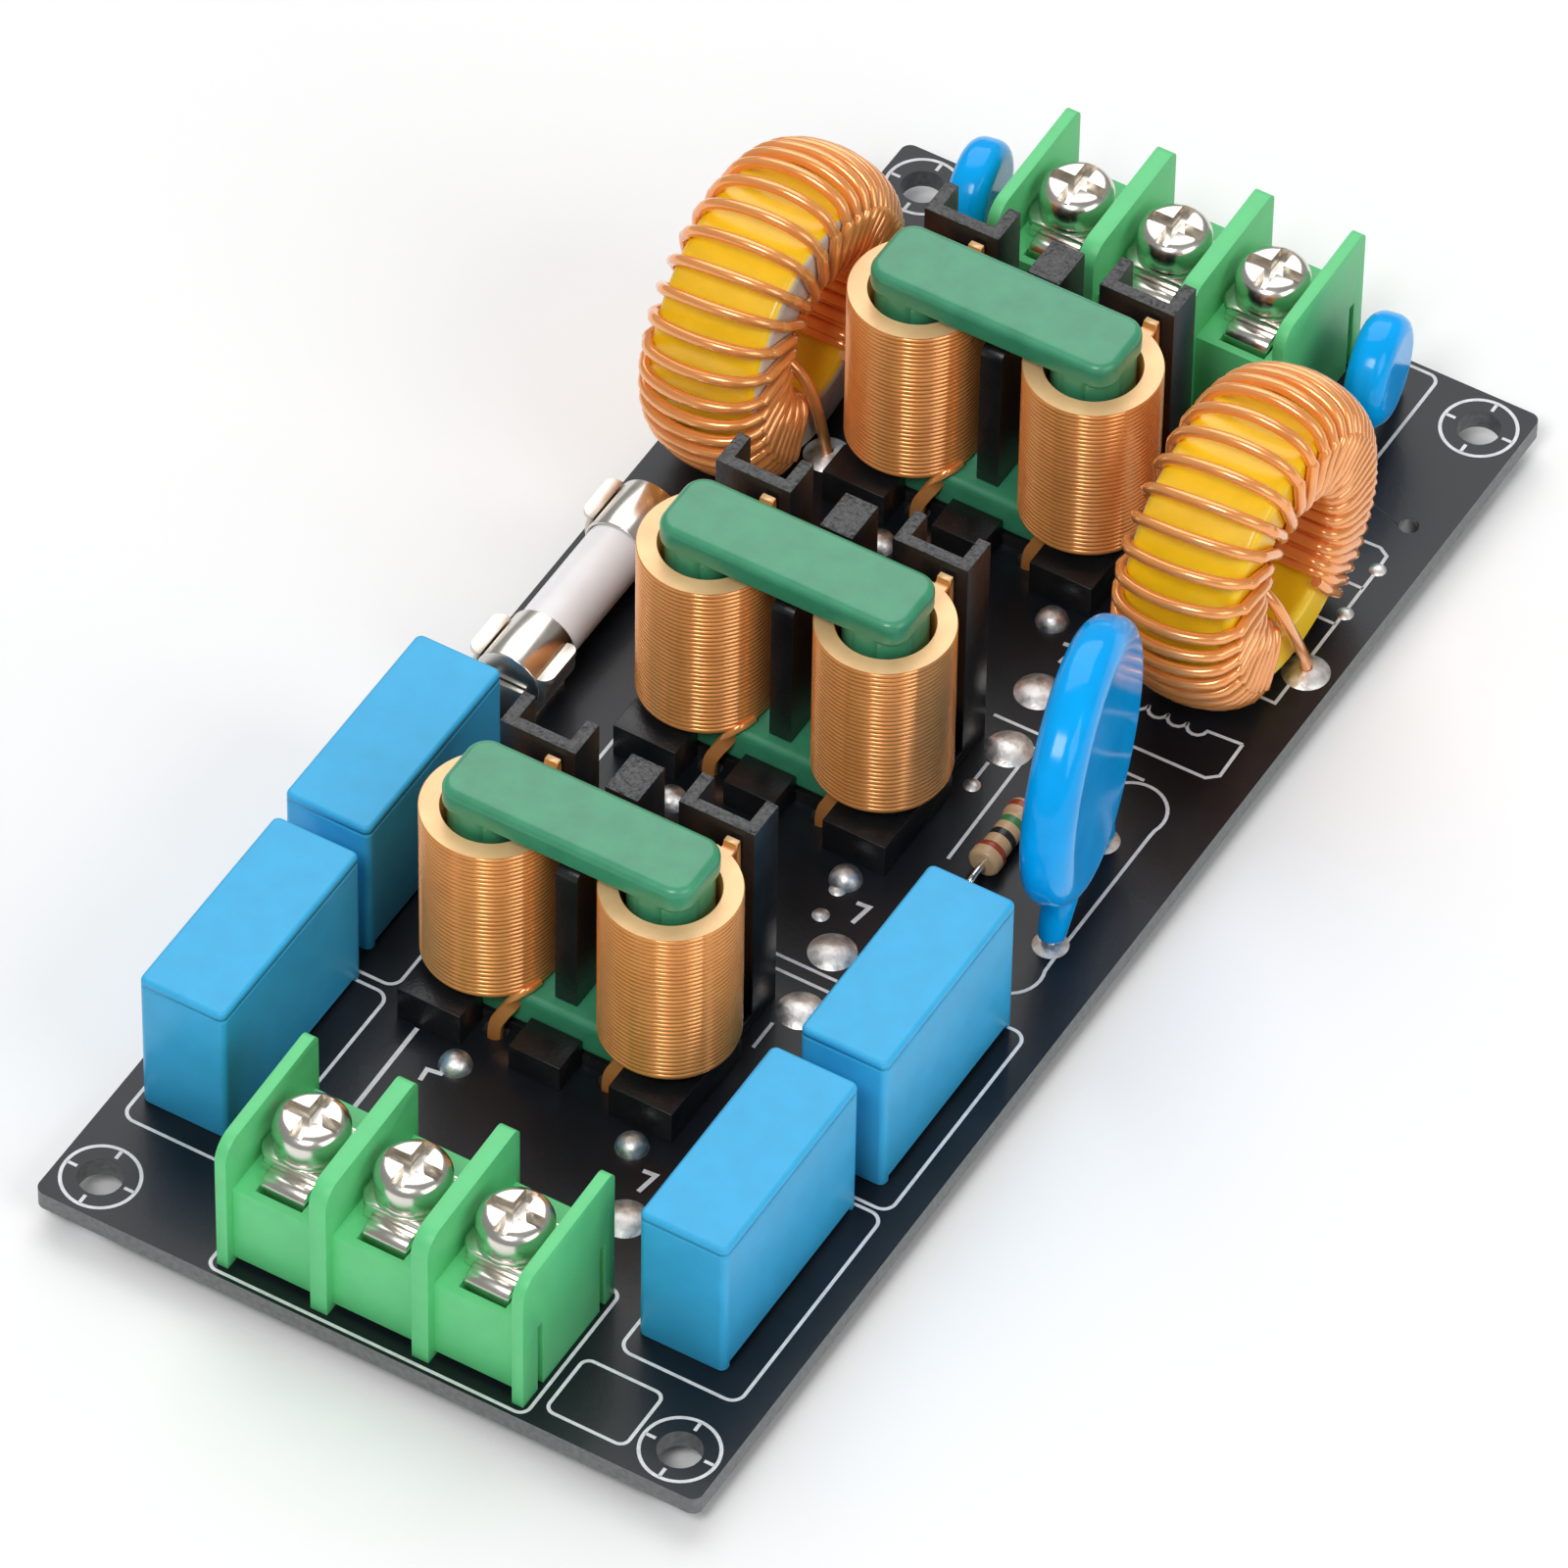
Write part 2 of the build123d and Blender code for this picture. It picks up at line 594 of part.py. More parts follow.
def build_choke_coil(y, side):
    """One edge-wound coil with its two flat-wire ends, in the board's own frame."""
    low = BOARD_TOP + BASE_THICKNESS + CORE_FOOT_BAR + SEAT_GAP
    high = low + COIL_HEIGHT
    axis = CHOKE_X + side * COIL_AXIS
    middle = (low + high) / 2
    coil = Pos(axis, y, middle) * Cylinder(COIL_OUTER_RADIUS, COIL_HEIGHT)
    coil -= Pos(axis, y, middle) * Cylinder(COIL_INNER_RADIUS, COIL_HEIGHT)
    front, rear = strap_leads(y, side)
    coil += front.solid(TAIL_Z, low + STRAP_THICKNESS)
    coil += rear.solid(TAIL_Z, high)
    half = STRAP_WIDTH / 2
    return coil + block_between(
        rear.x - half, rear.x + half,
        y + COIL_INNER_RADIUS + STRAP_THICKNESS, rear.y + STRAP_THICKNESS / 2,
        high - STRAP_THICKNESS, high,
    )


def ring_section(inner, outer, half_width, edge_radius):
    """Cross-section of a ring about the X axis, above it in the XZ plane."""
    middle = (inner + outer) / 2
    section = RectangleRounded(2 * half_width, outer - inner, edge_radius)
    return Plane.XZ * Pos(0, middle) * section


def build_toroid_ring():
    """Powder core of one toroid, centred on the origin with its axis along X."""
    section = ring_section(RING_INNER_RADIUS, RING_OUTER_RADIUS, RING_HALF_WIDTH, RING_EDGE_RADIUS)
    return revolve(section, Axis.X)


def winding_section():
    """Cross-section of a winding above the X axis: its turns arch over the rim of the ring."""
    half = TOROID_HALF_WIDTH
    bore = RING_INNER_RADIUS - 2 * WIRE_RADIUS
    rim = Polyline((-half, RING_OUTER_RADIUS), (-half, bore), (half, bore), (half, RING_OUTER_RADIUS))
    crown = ThreePointArc((half, RING_OUTER_RADIUS), (0, TOROID_CROWN_RADIUS), (-half, RING_OUTER_RADIUS))
    section = make_face([*rim.edges(), crown])
    section = fillet(section.vertices().group_by(Axis.Y)[0], SLEEVE_BORE_EDGE)
    return Plane.XZ * fillet(section.vertices().group_by(Axis.Y)[-1], SLEEVE_SHOULDER)


def build_toroid_winding(x, y, shown_y):
    """Winding of one toroid as a sleeve open at the bottom, with its two leads."""
    height = BOARD_TOP + TOROID_LIFT
    outer = winding_section()
    gap = SLIDE_CLEARANCE
    inner = ring_section(
        RING_INNER_RADIUS - gap, RING_OUTER_RADIUS + gap, RING_HALF_WIDTH + gap, RING_EDGE_RADIUS
    )
    arc = 360 - 2 * SLEEVE_HALF_GAP
    start = Rot(180 + SLEEVE_HALF_GAP, 0, 0)
    sleeve = revolve(start * (outer - inner), Axis.X, revolution_arc=arc)
    sleeve = Pos(x, y, height) * sleeve
    shown, hidden = toroid_leads(x, y, shown_y)
    root = (x + SHOWN_LEAD_ROOT[0], y + SHOWN_LEAD_ROOT[1], height + SHOWN_LEAD_ROOT[2])
    crest = (x + SHOWN_LEAD_CREST[0], y + SHOWN_LEAD_CREST[1], height + SHOWN_LEAD_CREST[2])
    fall = (x + SHOWN_LEAD_FALL[0], (y + SHOWN_LEAD_CREST[1] + shown_y) / 2, height + SHOWN_LEAD_FALL[1])
    end = (shown.x, shown.y, BOARD_TOP)
    curve = Spline([root, crest, fall, end], tangents=[(1, 0, 0), (0, 0, -1)])
    section = Plane(origin=root, z_dir=(1, 0, 0)) * Circle(WIRE_RADIUS)
    wire = sweep(section, path=curve)
    sleeve += wire
    sleeve += shown.solid(TAIL_Z, BOARD_TOP)
    return sleeve + hidden.solid(TAIL_Z, height - HIDDEN_LEAD_RISE)


def leg_cone(start, end, start_radius, end_radius):
    """A tapered coated leg between two points."""
    axis = Vector(*end) - Vector(*start)
    lower = Plane(origin=start, z_dir=axis) * Circle(start_radius)
    upper = Plane(origin=end, z_dir=axis) * Circle(end_radius)
    return loft([lower, upper])


def build_disc_body(centre, yaw, size, lift, pitch, leg_root, leg_radii, lead_radius):
    """Coated disc with two short coated legs; size is radius, half thickness and rim radius."""
    radius, half, edge = size
    profile = Plane.XZ * Pos(0, radius / 2) * Rectangle(2 * half, radius)
    rim = profile.vertices().group_by(Axis.Z)[-1]
    body = revolve(fillet(rim, edge), Axis.X)
    for side in (-1, 1):
        start = (0, side * leg_root[0], -leg_root[1])
        end = (0, side * pitch / 2, LEG_END_HEIGHT - lift)
        body += leg_cone(start, end, *leg_radii)
        bore = Lead(0, side * pitch / 2, 2 * lead_radius)
        body -= bore.solid(end[2] - LEG_LEAD_EMBED, end[2] + LEG_LEAD_EMBED, SOLDER_CLEARANCE)
    return Pos(centre[0], centre[1], BOARD_TOP + lift) * Rot(0, 0, yaw) * body


def build_fuse_caps():
    """The two plated end caps of the fuse."""
    x, y = FUSE_CENTRE
    height = BOARD_TOP + FUSE_AXIS_HEIGHT
    caps = []
    for end in (-1, 1):
        shell = Cylinder(FUSE_CAP_RADIUS, FUSE_CAP_LENGTH)
        bore = Cylinder(FUSE_TUBE_RADIUS + SLIDE_CLEARANCE, FUSE_CAP_LENGTH)
        cap = shell - Pos(0, 0, -FUSE_CAP_WALL) * bore
        turn = Rot(-90, 0, 0) if end > 0 else Rot(90, 0, 0)
        caps.append(Pos(x, y + end * (FUSE_LENGTH - FUSE_CAP_LENGTH) / 2, height) * turn * cap)
    return Compound(children=caps)


def build_fuse_tube():
    """Ceramic tube of the fuse, closed by its caps."""
    x, y = FUSE_CENTRE
    length = FUSE_LENGTH - 2 * FUSE_CAP_WALL - 2 * SLIDE_CLEARANCE
    return Pos(x, y, BOARD_TOP + FUSE_AXIS_HEIGHT) * Rot(90, 0, 0) * Cylinder(FUSE_TUBE_RADIUS, length)


def build_fuse_clip(y, end):
    """Spring clip under one fuse cap, with an end stop and a solder tab."""
    inner = FUSE_CAP_RADIUS + SLIDE_CLEARANCE
    outer = inner + CLIP_SHEET
    height = FUSE_AXIS_HEIGHT
    ring = Circle(outer) - Circle(inner)
    reach = 2 * outer
    opening = math.radians(CLIP_OPENING)
    wedge = make_face(
        Polyline(
            (0, 0),
            (reach * math.sin(opening), reach * math.cos(opening)),
            (0, reach * 2),
            (-reach * math.sin(opening), reach * math.cos(opening)),
            close=True,
        )
    )
    section = Pos(0, height) * (ring - wedge)
    for side in (-1, 1):
        root = Pos(side * outer * math.sin(opening), height + outer * math.cos(opening))
        ear = Rot(0, 0, -side * CLIP_EAR_TILT) * Pos(0, CLIP_EAR / 2) * Rectangle(CLIP_SHEET, CLIP_EAR + CLIP_SHEET)
        section += root * Pos(-side * CLIP_SHEET / 2, 0) * ear
    web = height - inner
    section += Pos(0, web / 2) * Rectangle(2 * CLIP_WEB_HALF_WIDTH, web)
    section -= Pos(0, height) * Circle(inner)
    section += Pos(0, CLIP_SHEET / 2) * Rectangle(2 * CLIP_BASE_HALF_WIDTH, CLIP_SHEET)
    clip = extrude(Plane.XZ * section, CLIP_WIDTH / 2, both=True)
    tips = clip.edges().filter_by(
        lambda edge: abs(edge.center().X) > outer + CLIP_SHEET / 2 and edge.length < 2 * CLIP_SHEET
    )
    clip = fillet(tips, CLIP_EAR_CORNER)
    near = CLIP_INSET + SEAT_GAP
    low, high = sorted((end * near, end * (near + CLIP_SHEET)))
    clip += block_between(-CLIP_STOP_HALF_WIDTH, CLIP_STOP_HALF_WIDTH, low, high, 0, height)
    low, high = sorted((0, end * (near + CLIP_SHEET)))
    clip += block_between(-CLIP_STOP_HALF_WIDTH, CLIP_STOP_HALF_WIDTH, low, high, 0, CLIP_SHEET)
    clip += Lead(0, 0, CLIP_PIN_WIDTH, CLIP_PIN_DEPTH).solid(TAIL_Z - BOARD_TOP, CLIP_SHEET)
    return Pos(FUSE_CENTRE[0], y, BOARD_TOP) * clip


def build_resistor_body():
    """Resistor body with thicker rounded ends, lying along Y on the board."""
    x, y = RESISTOR_CENTRE
    body = Cylinder(RESISTOR_WAIST_RADIUS, RESISTOR_LENGTH - RESISTOR_END_LENGTH)
    for side in (-1, 1):
        end = fillet(Cylinder(RESISTOR_END_RADIUS, RESISTOR_END_LENGTH).edges(), RESISTOR_ROUND)
        body += Pos(0, 0, side * (RESISTOR_LENGTH - RESISTOR_END_LENGTH) / 2) * end
    return Pos(x, y, BOARD_TOP + RESISTOR_END_RADIUS) * Rot(90, 0, 0) * body


def build_resistor_leads():
    """Both resistor leads, bent down into the board."""
    x, y = RESISTOR_CENTRE
    height = BOARD_TOP + RESISTOR_END_RADIUS
    leads = []
    for side in (-1, 1):
        corner = y + side * RESISTOR_LEAD_PITCH / 2
        path = FilletPolyline(
            (x, y + side * RESISTOR_LENGTH / 2, height),
            (x, corner, height),
            (x, corner, TAIL_Z),
            radius=RESISTOR_BEND,
        )
        section = Plane(origin=path @ 0, z_dir=path % 0) * Circle(RESISTOR_LEAD_RADIUS)
        leads.append(sweep(section, path=path))
    return Compound(children=leads)


def main():
    """Build every node and write one STEP file for each."""
    os.makedirs("parts", exist_ok=True)
    nodes = {
        "circuit_board": build_circuit_board(),
        "solder_cones": build_solder_cones(),
        "solder_domes": build_solder_domes(),
    }
    for block, front in BLOCK_FRONTS.items():
        place = Pos(0, front, BOARD_TOP)
        nodes[f"{block}_terminal_housing"] = place * build_terminal_housing()
        for index, x in enumerate(pole_positions(), 1):
            pole = place * Pos(x, 0, 0)
            nodes[f"{block}_contact_{index}"] = pole * build_contact()
            nodes[f"{block}_clamp_washers_{index}"] = pole * build_clamp_washers()
            nodes[f"{block}_terminal_screw_{index}"] = pole * build_terminal_screw()
    for name, (x, y) in FILM_CAPACITORS.items():
        nodes[f"{name}_film_case"] = Pos(x, y, BOARD_TOP) * build_film_case()
        nodes[f"{name}_film_leads"] = build_film_leads(x, y)
    for name, y in CHOKES.items():
        place = Pos(CHOKE_X, y, BOARD_TOP)
        nodes[f"{name}_choke_base"] = place * build_choke_base()
        nodes[f"{name}_choke_core"] = place * Pos(0, 0, BASE_THICKNESS) * build_choke_core()
        nodes[f"{name}_choke_left_coil"] = build_choke_coil(y, -1)
        nodes[f"{name}_choke_right_coil"] = build_choke_coil(y, 1)
    for name, (x, y, shown_y) in TOROIDS.items():
        place = Pos(x, y, BOARD_TOP + TOROID_LIFT)
        nodes[f"{name}_toroid_ring"] = place * build_toroid_ring()
        nodes[f"{name}_toroid_winding"] = build_toroid_winding(x, y, shown_y)
    nodes["varistor_body"] = build_disc_body(
        VARISTOR_CENTRE, VARISTOR_YAW, (VARISTOR_RADIUS, VARISTOR_HALF_THICKNESS, VARISTOR_EDGE),
        VARISTOR_LIFT, VARISTOR_LEAD_PITCH, VARISTOR_LEG_ROOT, VARISTOR_LEG_RADII, VARISTOR_LEAD_RADIUS,
    )
    embed = LEG_END_HEIGHT + LEG_LEAD_EMBED
    nodes["varistor_leads"] = Compound(children=[round_lead(lead, embed) for lead in varistor_leads()])
    for name, centre in DISC_CAPACITORS.items():
        nodes[f"{name}_disc_body"] = build_disc_body(
            centre, DISC_YAW, (DISC_RADIUS, DISC_HALF_THICKNESS, DISC_EDGE),
            DISC_LIFT, DISC_LEAD_PITCH, DISC_LEG_ROOT, DISC_LEG_RADII, DISC_LEAD_RADIUS,
        )
        leads = [round_lead(lead, embed) for lead in small_disc_leads(centre)]
        nodes[f"{name}_disc_leads"] = Compound(children=leads)
    nodes["fuse_tube"] = build_fuse_tube()
    nodes["fuse_end_caps"] = build_fuse_caps()
    for name, (y, end) in zip(("front", "rear"), clip_positions()):
        nodes[f"fuse_{name}_clip"] = build_fuse_clip(y, end)
    nodes["resistor_body"] = build_resistor_body()
    nodes["resistor_leads"] = build_resistor_leads()
    for name, shape in nodes.items():
        export_step(shape, f"parts/{name}.step")


main()
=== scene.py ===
"""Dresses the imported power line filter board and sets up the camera, light and floor."""

import logging
import math
from dataclasses import dataclass, field
from enum import Enum

import bmesh
import bpy
from mathutils import Matrix, Vector


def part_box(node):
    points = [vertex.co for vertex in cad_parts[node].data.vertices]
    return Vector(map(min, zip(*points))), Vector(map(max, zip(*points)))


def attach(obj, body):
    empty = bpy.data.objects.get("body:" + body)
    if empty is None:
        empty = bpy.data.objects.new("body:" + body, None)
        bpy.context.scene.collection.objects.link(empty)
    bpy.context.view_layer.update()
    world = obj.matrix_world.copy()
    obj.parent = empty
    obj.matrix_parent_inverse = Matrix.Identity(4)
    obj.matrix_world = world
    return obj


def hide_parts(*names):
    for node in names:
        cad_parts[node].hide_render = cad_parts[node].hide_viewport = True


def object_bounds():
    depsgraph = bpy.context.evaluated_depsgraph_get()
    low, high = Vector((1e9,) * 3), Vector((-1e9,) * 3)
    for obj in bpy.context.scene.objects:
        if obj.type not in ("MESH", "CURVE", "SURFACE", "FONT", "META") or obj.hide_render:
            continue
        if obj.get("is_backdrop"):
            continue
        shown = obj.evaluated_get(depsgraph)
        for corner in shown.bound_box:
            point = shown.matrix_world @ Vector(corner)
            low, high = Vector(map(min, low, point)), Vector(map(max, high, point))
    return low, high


logging.basicConfig(level=logging.INFO, format="%(message)s")
log = logging.getLogger("scene")
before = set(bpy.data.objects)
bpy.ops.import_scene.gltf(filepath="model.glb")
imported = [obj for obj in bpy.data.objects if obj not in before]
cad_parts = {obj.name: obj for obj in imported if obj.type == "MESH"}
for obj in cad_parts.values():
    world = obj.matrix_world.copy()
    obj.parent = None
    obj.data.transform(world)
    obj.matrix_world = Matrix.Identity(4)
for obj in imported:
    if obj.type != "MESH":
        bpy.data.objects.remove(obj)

MM = 0.001
BODY = "root"
IMAGE_SIZE = 1600
NOISE_DETAIL = 3.0  # octaves of every noise texture
LEAST_ROUGHNESS = 0.02
SHARPEST_MITRE = 0.4  # a printed line's corners are stretched no further than this cosine asks
TAIL_CLEARANCE = 0.02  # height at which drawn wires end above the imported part's lowest point
LID_DROP = 0.7 * MM  # depth of the lid's line below the top of a film case
OFF_AXIS = Vector((0.3, 0.2, 0.9))  # direction that no wire starts along
# Section of a coil's end, as shares of half its width and half its thickness.
STRAP_SECTION = ((-1, -0.6), (-0.9, -1), (0.9, -1), (1, -0.6), (1, 0.6), (0.9, 1), (-0.9, 1), (-1, 0.6))

Flat = tuple[float, float]
Point = tuple[float, float, float]
Colour = tuple[float, float, float]
Faces = list[tuple[int, ...]]
Node = bpy.types.Node
Socket = bpy.types.NodeSocket


class Axis3(Enum):
    """Directions that a surface pattern can run along."""

    X = 0
    Y = 1
    Z = 2


class Gloss(Enum):
    """Roughness of the usual surfaces."""

    MIRROR = 0.12
    BRIGHT = 0.22
    SATIN = 0.34
    SOFT = 0.45
    MATT = 0.9


@dataclass(frozen=True)
class Levels:
    """Heights that several pieces share, in millimetres.

    Args:
        top: component side of the board.
        tail: lower end of the wires that the scene draws.
    """

    top: float
    tail: float


@dataclass(frozen=True)
class Tree:
    """The node tree of a material under construction.

    Args:
        nodes: its nodes.
        links: its links.
        place: socket with the position on the object.
    """

    nodes: bpy.types.Nodes
    links: bpy.types.NodeLinks
    place: Socket

    def noise(self, size: float) -> Socket:
        """Add a noise texture.

        Args:
            size: size of one blotch, in metres.

        Returns:
            The noise's value socket.
        """
        noise = self.nodes.new("ShaderNodeTexNoise")
        noise.inputs["Scale"].default_value = 1 / size
        noise.inputs["Detail"].default_value = NOISE_DETAIL
        self.links.new(self.place, noise.inputs["Vector"])
        return noise.outputs["Fac"]


@dataclass(frozen=True)
class Finish:
    """A procedural surface: colour with mottling, uneven gloss and fine bumps.

    Args:
        name: name of the material.
        colour: main linear colour.
        roughness: mean roughness.
        metallic: 1 for bare metal.
        coat: weight of the clear layer on top.
        coat_roughness: roughness of that layer.
        mottling: how far the colour wanders, as a share.
        mottle_stops: values of the noise at which the colour is darkest and lightest.
        grain: size of the mottling, in metres.
        bump: depth of the fine bumps, in metres.
        bump_grain: size of the fine bumps, in metres.
        gloss_spread: how far the roughness wanders.
        sheen_level: strength of the mirror image on a non-metal.
    """

    name: str
    colour: Colour
    roughness: float = 0.4
    metallic: float = 0.0
    coat: float = 0.0
    coat_roughness: float = 0.08
    mottling: float = 0.08
    mottle_stops: Flat = (0.3, 0.7)
    grain: float = 2 * MM
    bump: float = 0.01 * MM
    bump_grain: float = 0.3 * MM
    gloss_spread: float = 0.06
    sheen_level: float = 0.5

    def material(self) -> bpy.types.Material:
        """Build the material, or return it if it exists.

        Returns:
            The material with its node tree.
        """
        found = bpy.data.materials.get(self.name)
        if found:
            return found
        material = bpy.data.materials.new(self.name)
        material.use_nodes = True
        nodes = material.node_tree.nodes
        shader = nodes["Principled BSDF"]
        shader.inputs["Metallic"].default_value = self.metallic
        shader.inputs["Coat Weight"].default_value = self.coat
        shader.inputs["Coat Roughness"].default_value = self.coat_roughness
        shader.inputs["Specular IOR Level"].default_value = self.sheen_level
        place = nodes.new("ShaderNodeTexCoord").outputs["Object"]
        self.paint(Tree(nodes, material.node_tree.links, place), shader)
        return material

    def paint(self, tree: Tree, shader: Node) -> None:
        """Wire colour, roughness and bumps into the shader.

        Args:
            tree: tree of the material.
            shader: the principled shader.
        """
        tree.links.new(self.tint(tree), shader.inputs["Base Color"])
        spread = tree.nodes.new("ShaderNodeMapRange")
        spread.inputs["To Min"].default_value = max(self.roughness - self.gloss_spread, LEAST_ROUGHNESS)
        spread.inputs["To Max"].default_value = min(self.roughness + self.gloss_spread, 1.0)
        tree.links.new(tree.noise(self.grain), spread.inputs["Value"])
        tree.links.new(spread.outputs["Result"], shader.inputs["Roughness"])
        tree.links.new(self.relief(tree), shader.inputs["Normal"])

    def relief(self, tree: Tree) -> Socket:
        """Fine bumps.

        Args:
            tree: tree of the material.

        Returns:
            The normal socket.
        """
        bump = tree.nodes.new("ShaderNodeBump")
        bump.inputs["Distance"].default_value = self.bump
        tree.links.new(tree.noise(self.bump_grain), bump.inputs["Height"])
        return bump.outputs["Normal"]

    def tint(self, tree: Tree) -> Socket:
        """Mottled colour.

        Args:
            tree: tree of the material.

        Returns:
            The colour socket.
        """
        ramp = tree.nodes.new("ShaderNodeValToRGB")
        shares = (1 - self.mottling, 1 + self.mottling)
        for element, share, stop in zip(ramp.color_ramp.elements, shares, self.mottle_stops):
            element.position = stop
            element.color = (*[min(c * share, 1.0) for c in self.colour], 1)
        tree.links.new(tree.noise(self.grain), ramp.inputs["Fac"])
        return ramp.outputs["Color"]


@dataclass(frozen=True)
class LiddedFinish(Finish):
    """Moulded plastic with a shallow line round it, where the lid meets the box.

    Args:
        line_height: height of the line, in metres.
        line_width: width of the line, in metres.
        line_depth: depth of the line, in metres.
    """

    line_height: float = 0.0
    line_width: float = 0.25 * MM
    line_depth: float = 0.12 * MM

    def relief(self, tree: Tree) -> Socket:
        """Fine bumps with the lid's line cut into them.

        Args:
            tree: tree of the material.

        Returns:
            The normal socket.
        """
        nodes, links = tree.nodes, tree.links
        split = nodes.new("ShaderNodeSeparateXYZ")
        links.new(tree.place, split.inputs["Vector"])
        away = nodes.new("ShaderNodeMath")
        away.operation = "SUBTRACT"
        away.inputs[1].default_value = self.line_height
        links.new(split.outputs["Z"], away.inputs[0])
        wide = nodes.new("ShaderNodeMath")
        wide.operation = "ABSOLUTE"
        links.new(away.outputs[0], wide.inputs[0])
        edge = nodes.new("ShaderNodeMapRange")
        edge.inputs["From Max"].default_value = self.line_width
        links.new(wide.outputs[0], edge.inputs["Value"])
        groove = nodes.new("ShaderNodeBump")
        groove.inputs["Distance"].default_value = self.line_depth
        links.new(edge.outputs["Result"], groove.inputs["Height"])
        links.new(super().relief(tree), groove.inputs["Normal"])
        return groove.outputs["Normal"]


@dataclass(frozen=True)
class BandedFinish(Finish):
    """Lacquer with colour bands across one axis.

    Args:
        axis: direction that the bands follow one another in.
        bands: start of each band, in metres, with its colour.
        span: first and last position of the pattern, in metres.
    """

    axis: Axis3 = Axis3.Y
    bands: tuple[tuple[float, Colour], ...] = ()
    span: Flat = (0.0, 1.0)

    def tint(self, tree: Tree) -> Socket:
        """Stepped colour along the axis.

        Args:
            tree: tree of the material.

        Returns:
            The colour socket.
        """
        nodes, links = tree.nodes, tree.links
        split = nodes.new("ShaderNodeSeparateXYZ")
        links.new(tree.place, split.inputs["Vector"])
        along = nodes.new("ShaderNodeMapRange")
        along.inputs["From Min"].default_value, along.inputs["From Max"].default_value = self.span
        links.new(split.outputs[self.axis.value], along.inputs["Value"])
        ramp = nodes.new("ShaderNodeValToRGB")
        ramp.color_ramp.interpolation = "CONSTANT"
        ramp.color_ramp.elements[0].color = (*self.colour, 1)
        low, high = self.span
        for start, colour in self.bands:
            element = ramp.color_ramp.elements.new((start - low) / (high - low))
            element.color = (*colour, 1)
        ramp.color_ramp.elements[-1].color = (*self.colour, 1)
        links.new(along.outputs["Result"], ramp.inputs["Fac"])
        return ramp.outputs["Color"]


MASK = Finish("glossy_solder_mask", (0.007, 0.009, 0.013), Gloss.SATIN.value, coat=0.06, mottling=0.3,
              grain=6 * MM, sheen_level=0.34)
LAMINATE = Finish("bare_laminate_edge", (0.14, 0.15, 0.15), Gloss.SOFT.value, mottling=0.25, grain=0.5 * MM)
PRINT = Finish("white_board_print", (0.72, 0.72, 0.74), Gloss.SOFT.value, mottling=0.12, grain=0.6 * MM)
GREEN = Finish("green_moulding", (0.125, 0.64, 0.24), Gloss.SOFT.value, mottling=0.04, bump=0.006 * MM)
NICKEL = Finish("bright_nickel", (0.78, 0.74, 0.68), Gloss.BRIGHT.value, metallic=1.0, mottling=0.06,
                bump=0.002 * MM)
CLIP = Finish("dull_nickel", (0.72, 0.65, 0.58), Gloss.SATIN.value, metallic=1.0, mottling=0.06,
              bump=0.004 * MM)
SOLDER = Finish("solder_alloy", (0.86, 0.83, 0.81), Gloss.SOFT.value, metallic=1.0, mottling=0.2,
                grain=0.6 * MM, bump=0.08 * MM, bump_grain=0.9 * MM, gloss_spread=0.12)
TIN = Finish("tinned_copper", (0.74, 0.73, 0.72), Gloss.BRIGHT.value, metallic=1.0, bump=0.003 * MM)
BLACK = Finish("black_moulding", (0.010, 0.010, 0.011), Gloss.SATIN.value, mottling=0.3, bump=0.03 * MM)
TORN = Finish("torn_moulding", (0.045, 0.045, 0.047), Gloss.SATIN.value, mottling=0.8, grain=0.3 * MM,
              bump=0.16 * MM, bump_grain=0.45 * MM, gloss_spread=0.15)
CORE = Finish("green_epoxy_coat", (0.05, 0.30, 0.155), Gloss.SATIN.value, coat=0.15, mottling=0.1,
              bump=0.015 * MM, bump_grain=0.7 * MM)
COPPER = Finish("enamelled_flat_wire", (1.0, 0.39, 0.105), Gloss.BRIGHT.value, metallic=0.4, coat=0.4,
                mottling=0.07, grain=1.6 * MM, bump=0.004 * MM)
# Paler, duller copy of the coil copper for the top of the stack: painted top light, not a different wire.
RIM_PAINTED_LIGHT = Finish("flat_wire_rim_painted_light", (0.98, 0.60, 0.30), Gloss.SATIN.value, metallic=0.2, mottling=0.08)
YELLOW = Finish("yellow_epoxy_coat", (0.95, 0.62, 0.008), Gloss.SATIN.value, coat=0.2, mottling=0.05)
WHITE = Finish("white_epoxy_coat", (0.62, 0.57, 0.50), Gloss.SATIN.value, mottling=0.15)
WIRE = Finish("enamelled_round_wire", (1.0, 0.38, 0.10), Gloss.BRIGHT.value, metallic=0.4, coat=1.0,
              mottling=0.06, bump=0.002 * MM)
AZURE = Finish("azure_epoxy_coat", (0.0, 0.39, 0.93), Gloss.MIRROR.value, mottling=0.08, grain=4 * MM,
               bump=0.004 * MM, sheen_level=0.25)
CERAMIC = Finish("white_ceramic", (0.93, 0.92, 0.94), Gloss.SATIN.value, mottling=0.02, bump=0.003 * MM)
FLOOR = Finish("floor_white", (0.95, 0.95, 0.95), Gloss.MATT.value, mottling=0.0)


def gather(key: str) -> list[str]:
    """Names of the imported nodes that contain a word.

    Args:
        key: the word.

    Returns:
        The names in order.
    """
    return sorted(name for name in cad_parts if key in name)


def finish_piece(piece: bpy.types.Object, nodes: list[str]) -> bpy.types.Object:
    """Tie a piece to the body and the nodes it stands for.

    Args:
        piece: the object.
        nodes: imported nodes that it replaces.

    Returns:
        The same object.
    """
    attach(piece, BODY)
    if nodes:
        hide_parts(*nodes)
    log.info("%s: %d faces", piece.name, len(piece.data.polygons))
    return piece


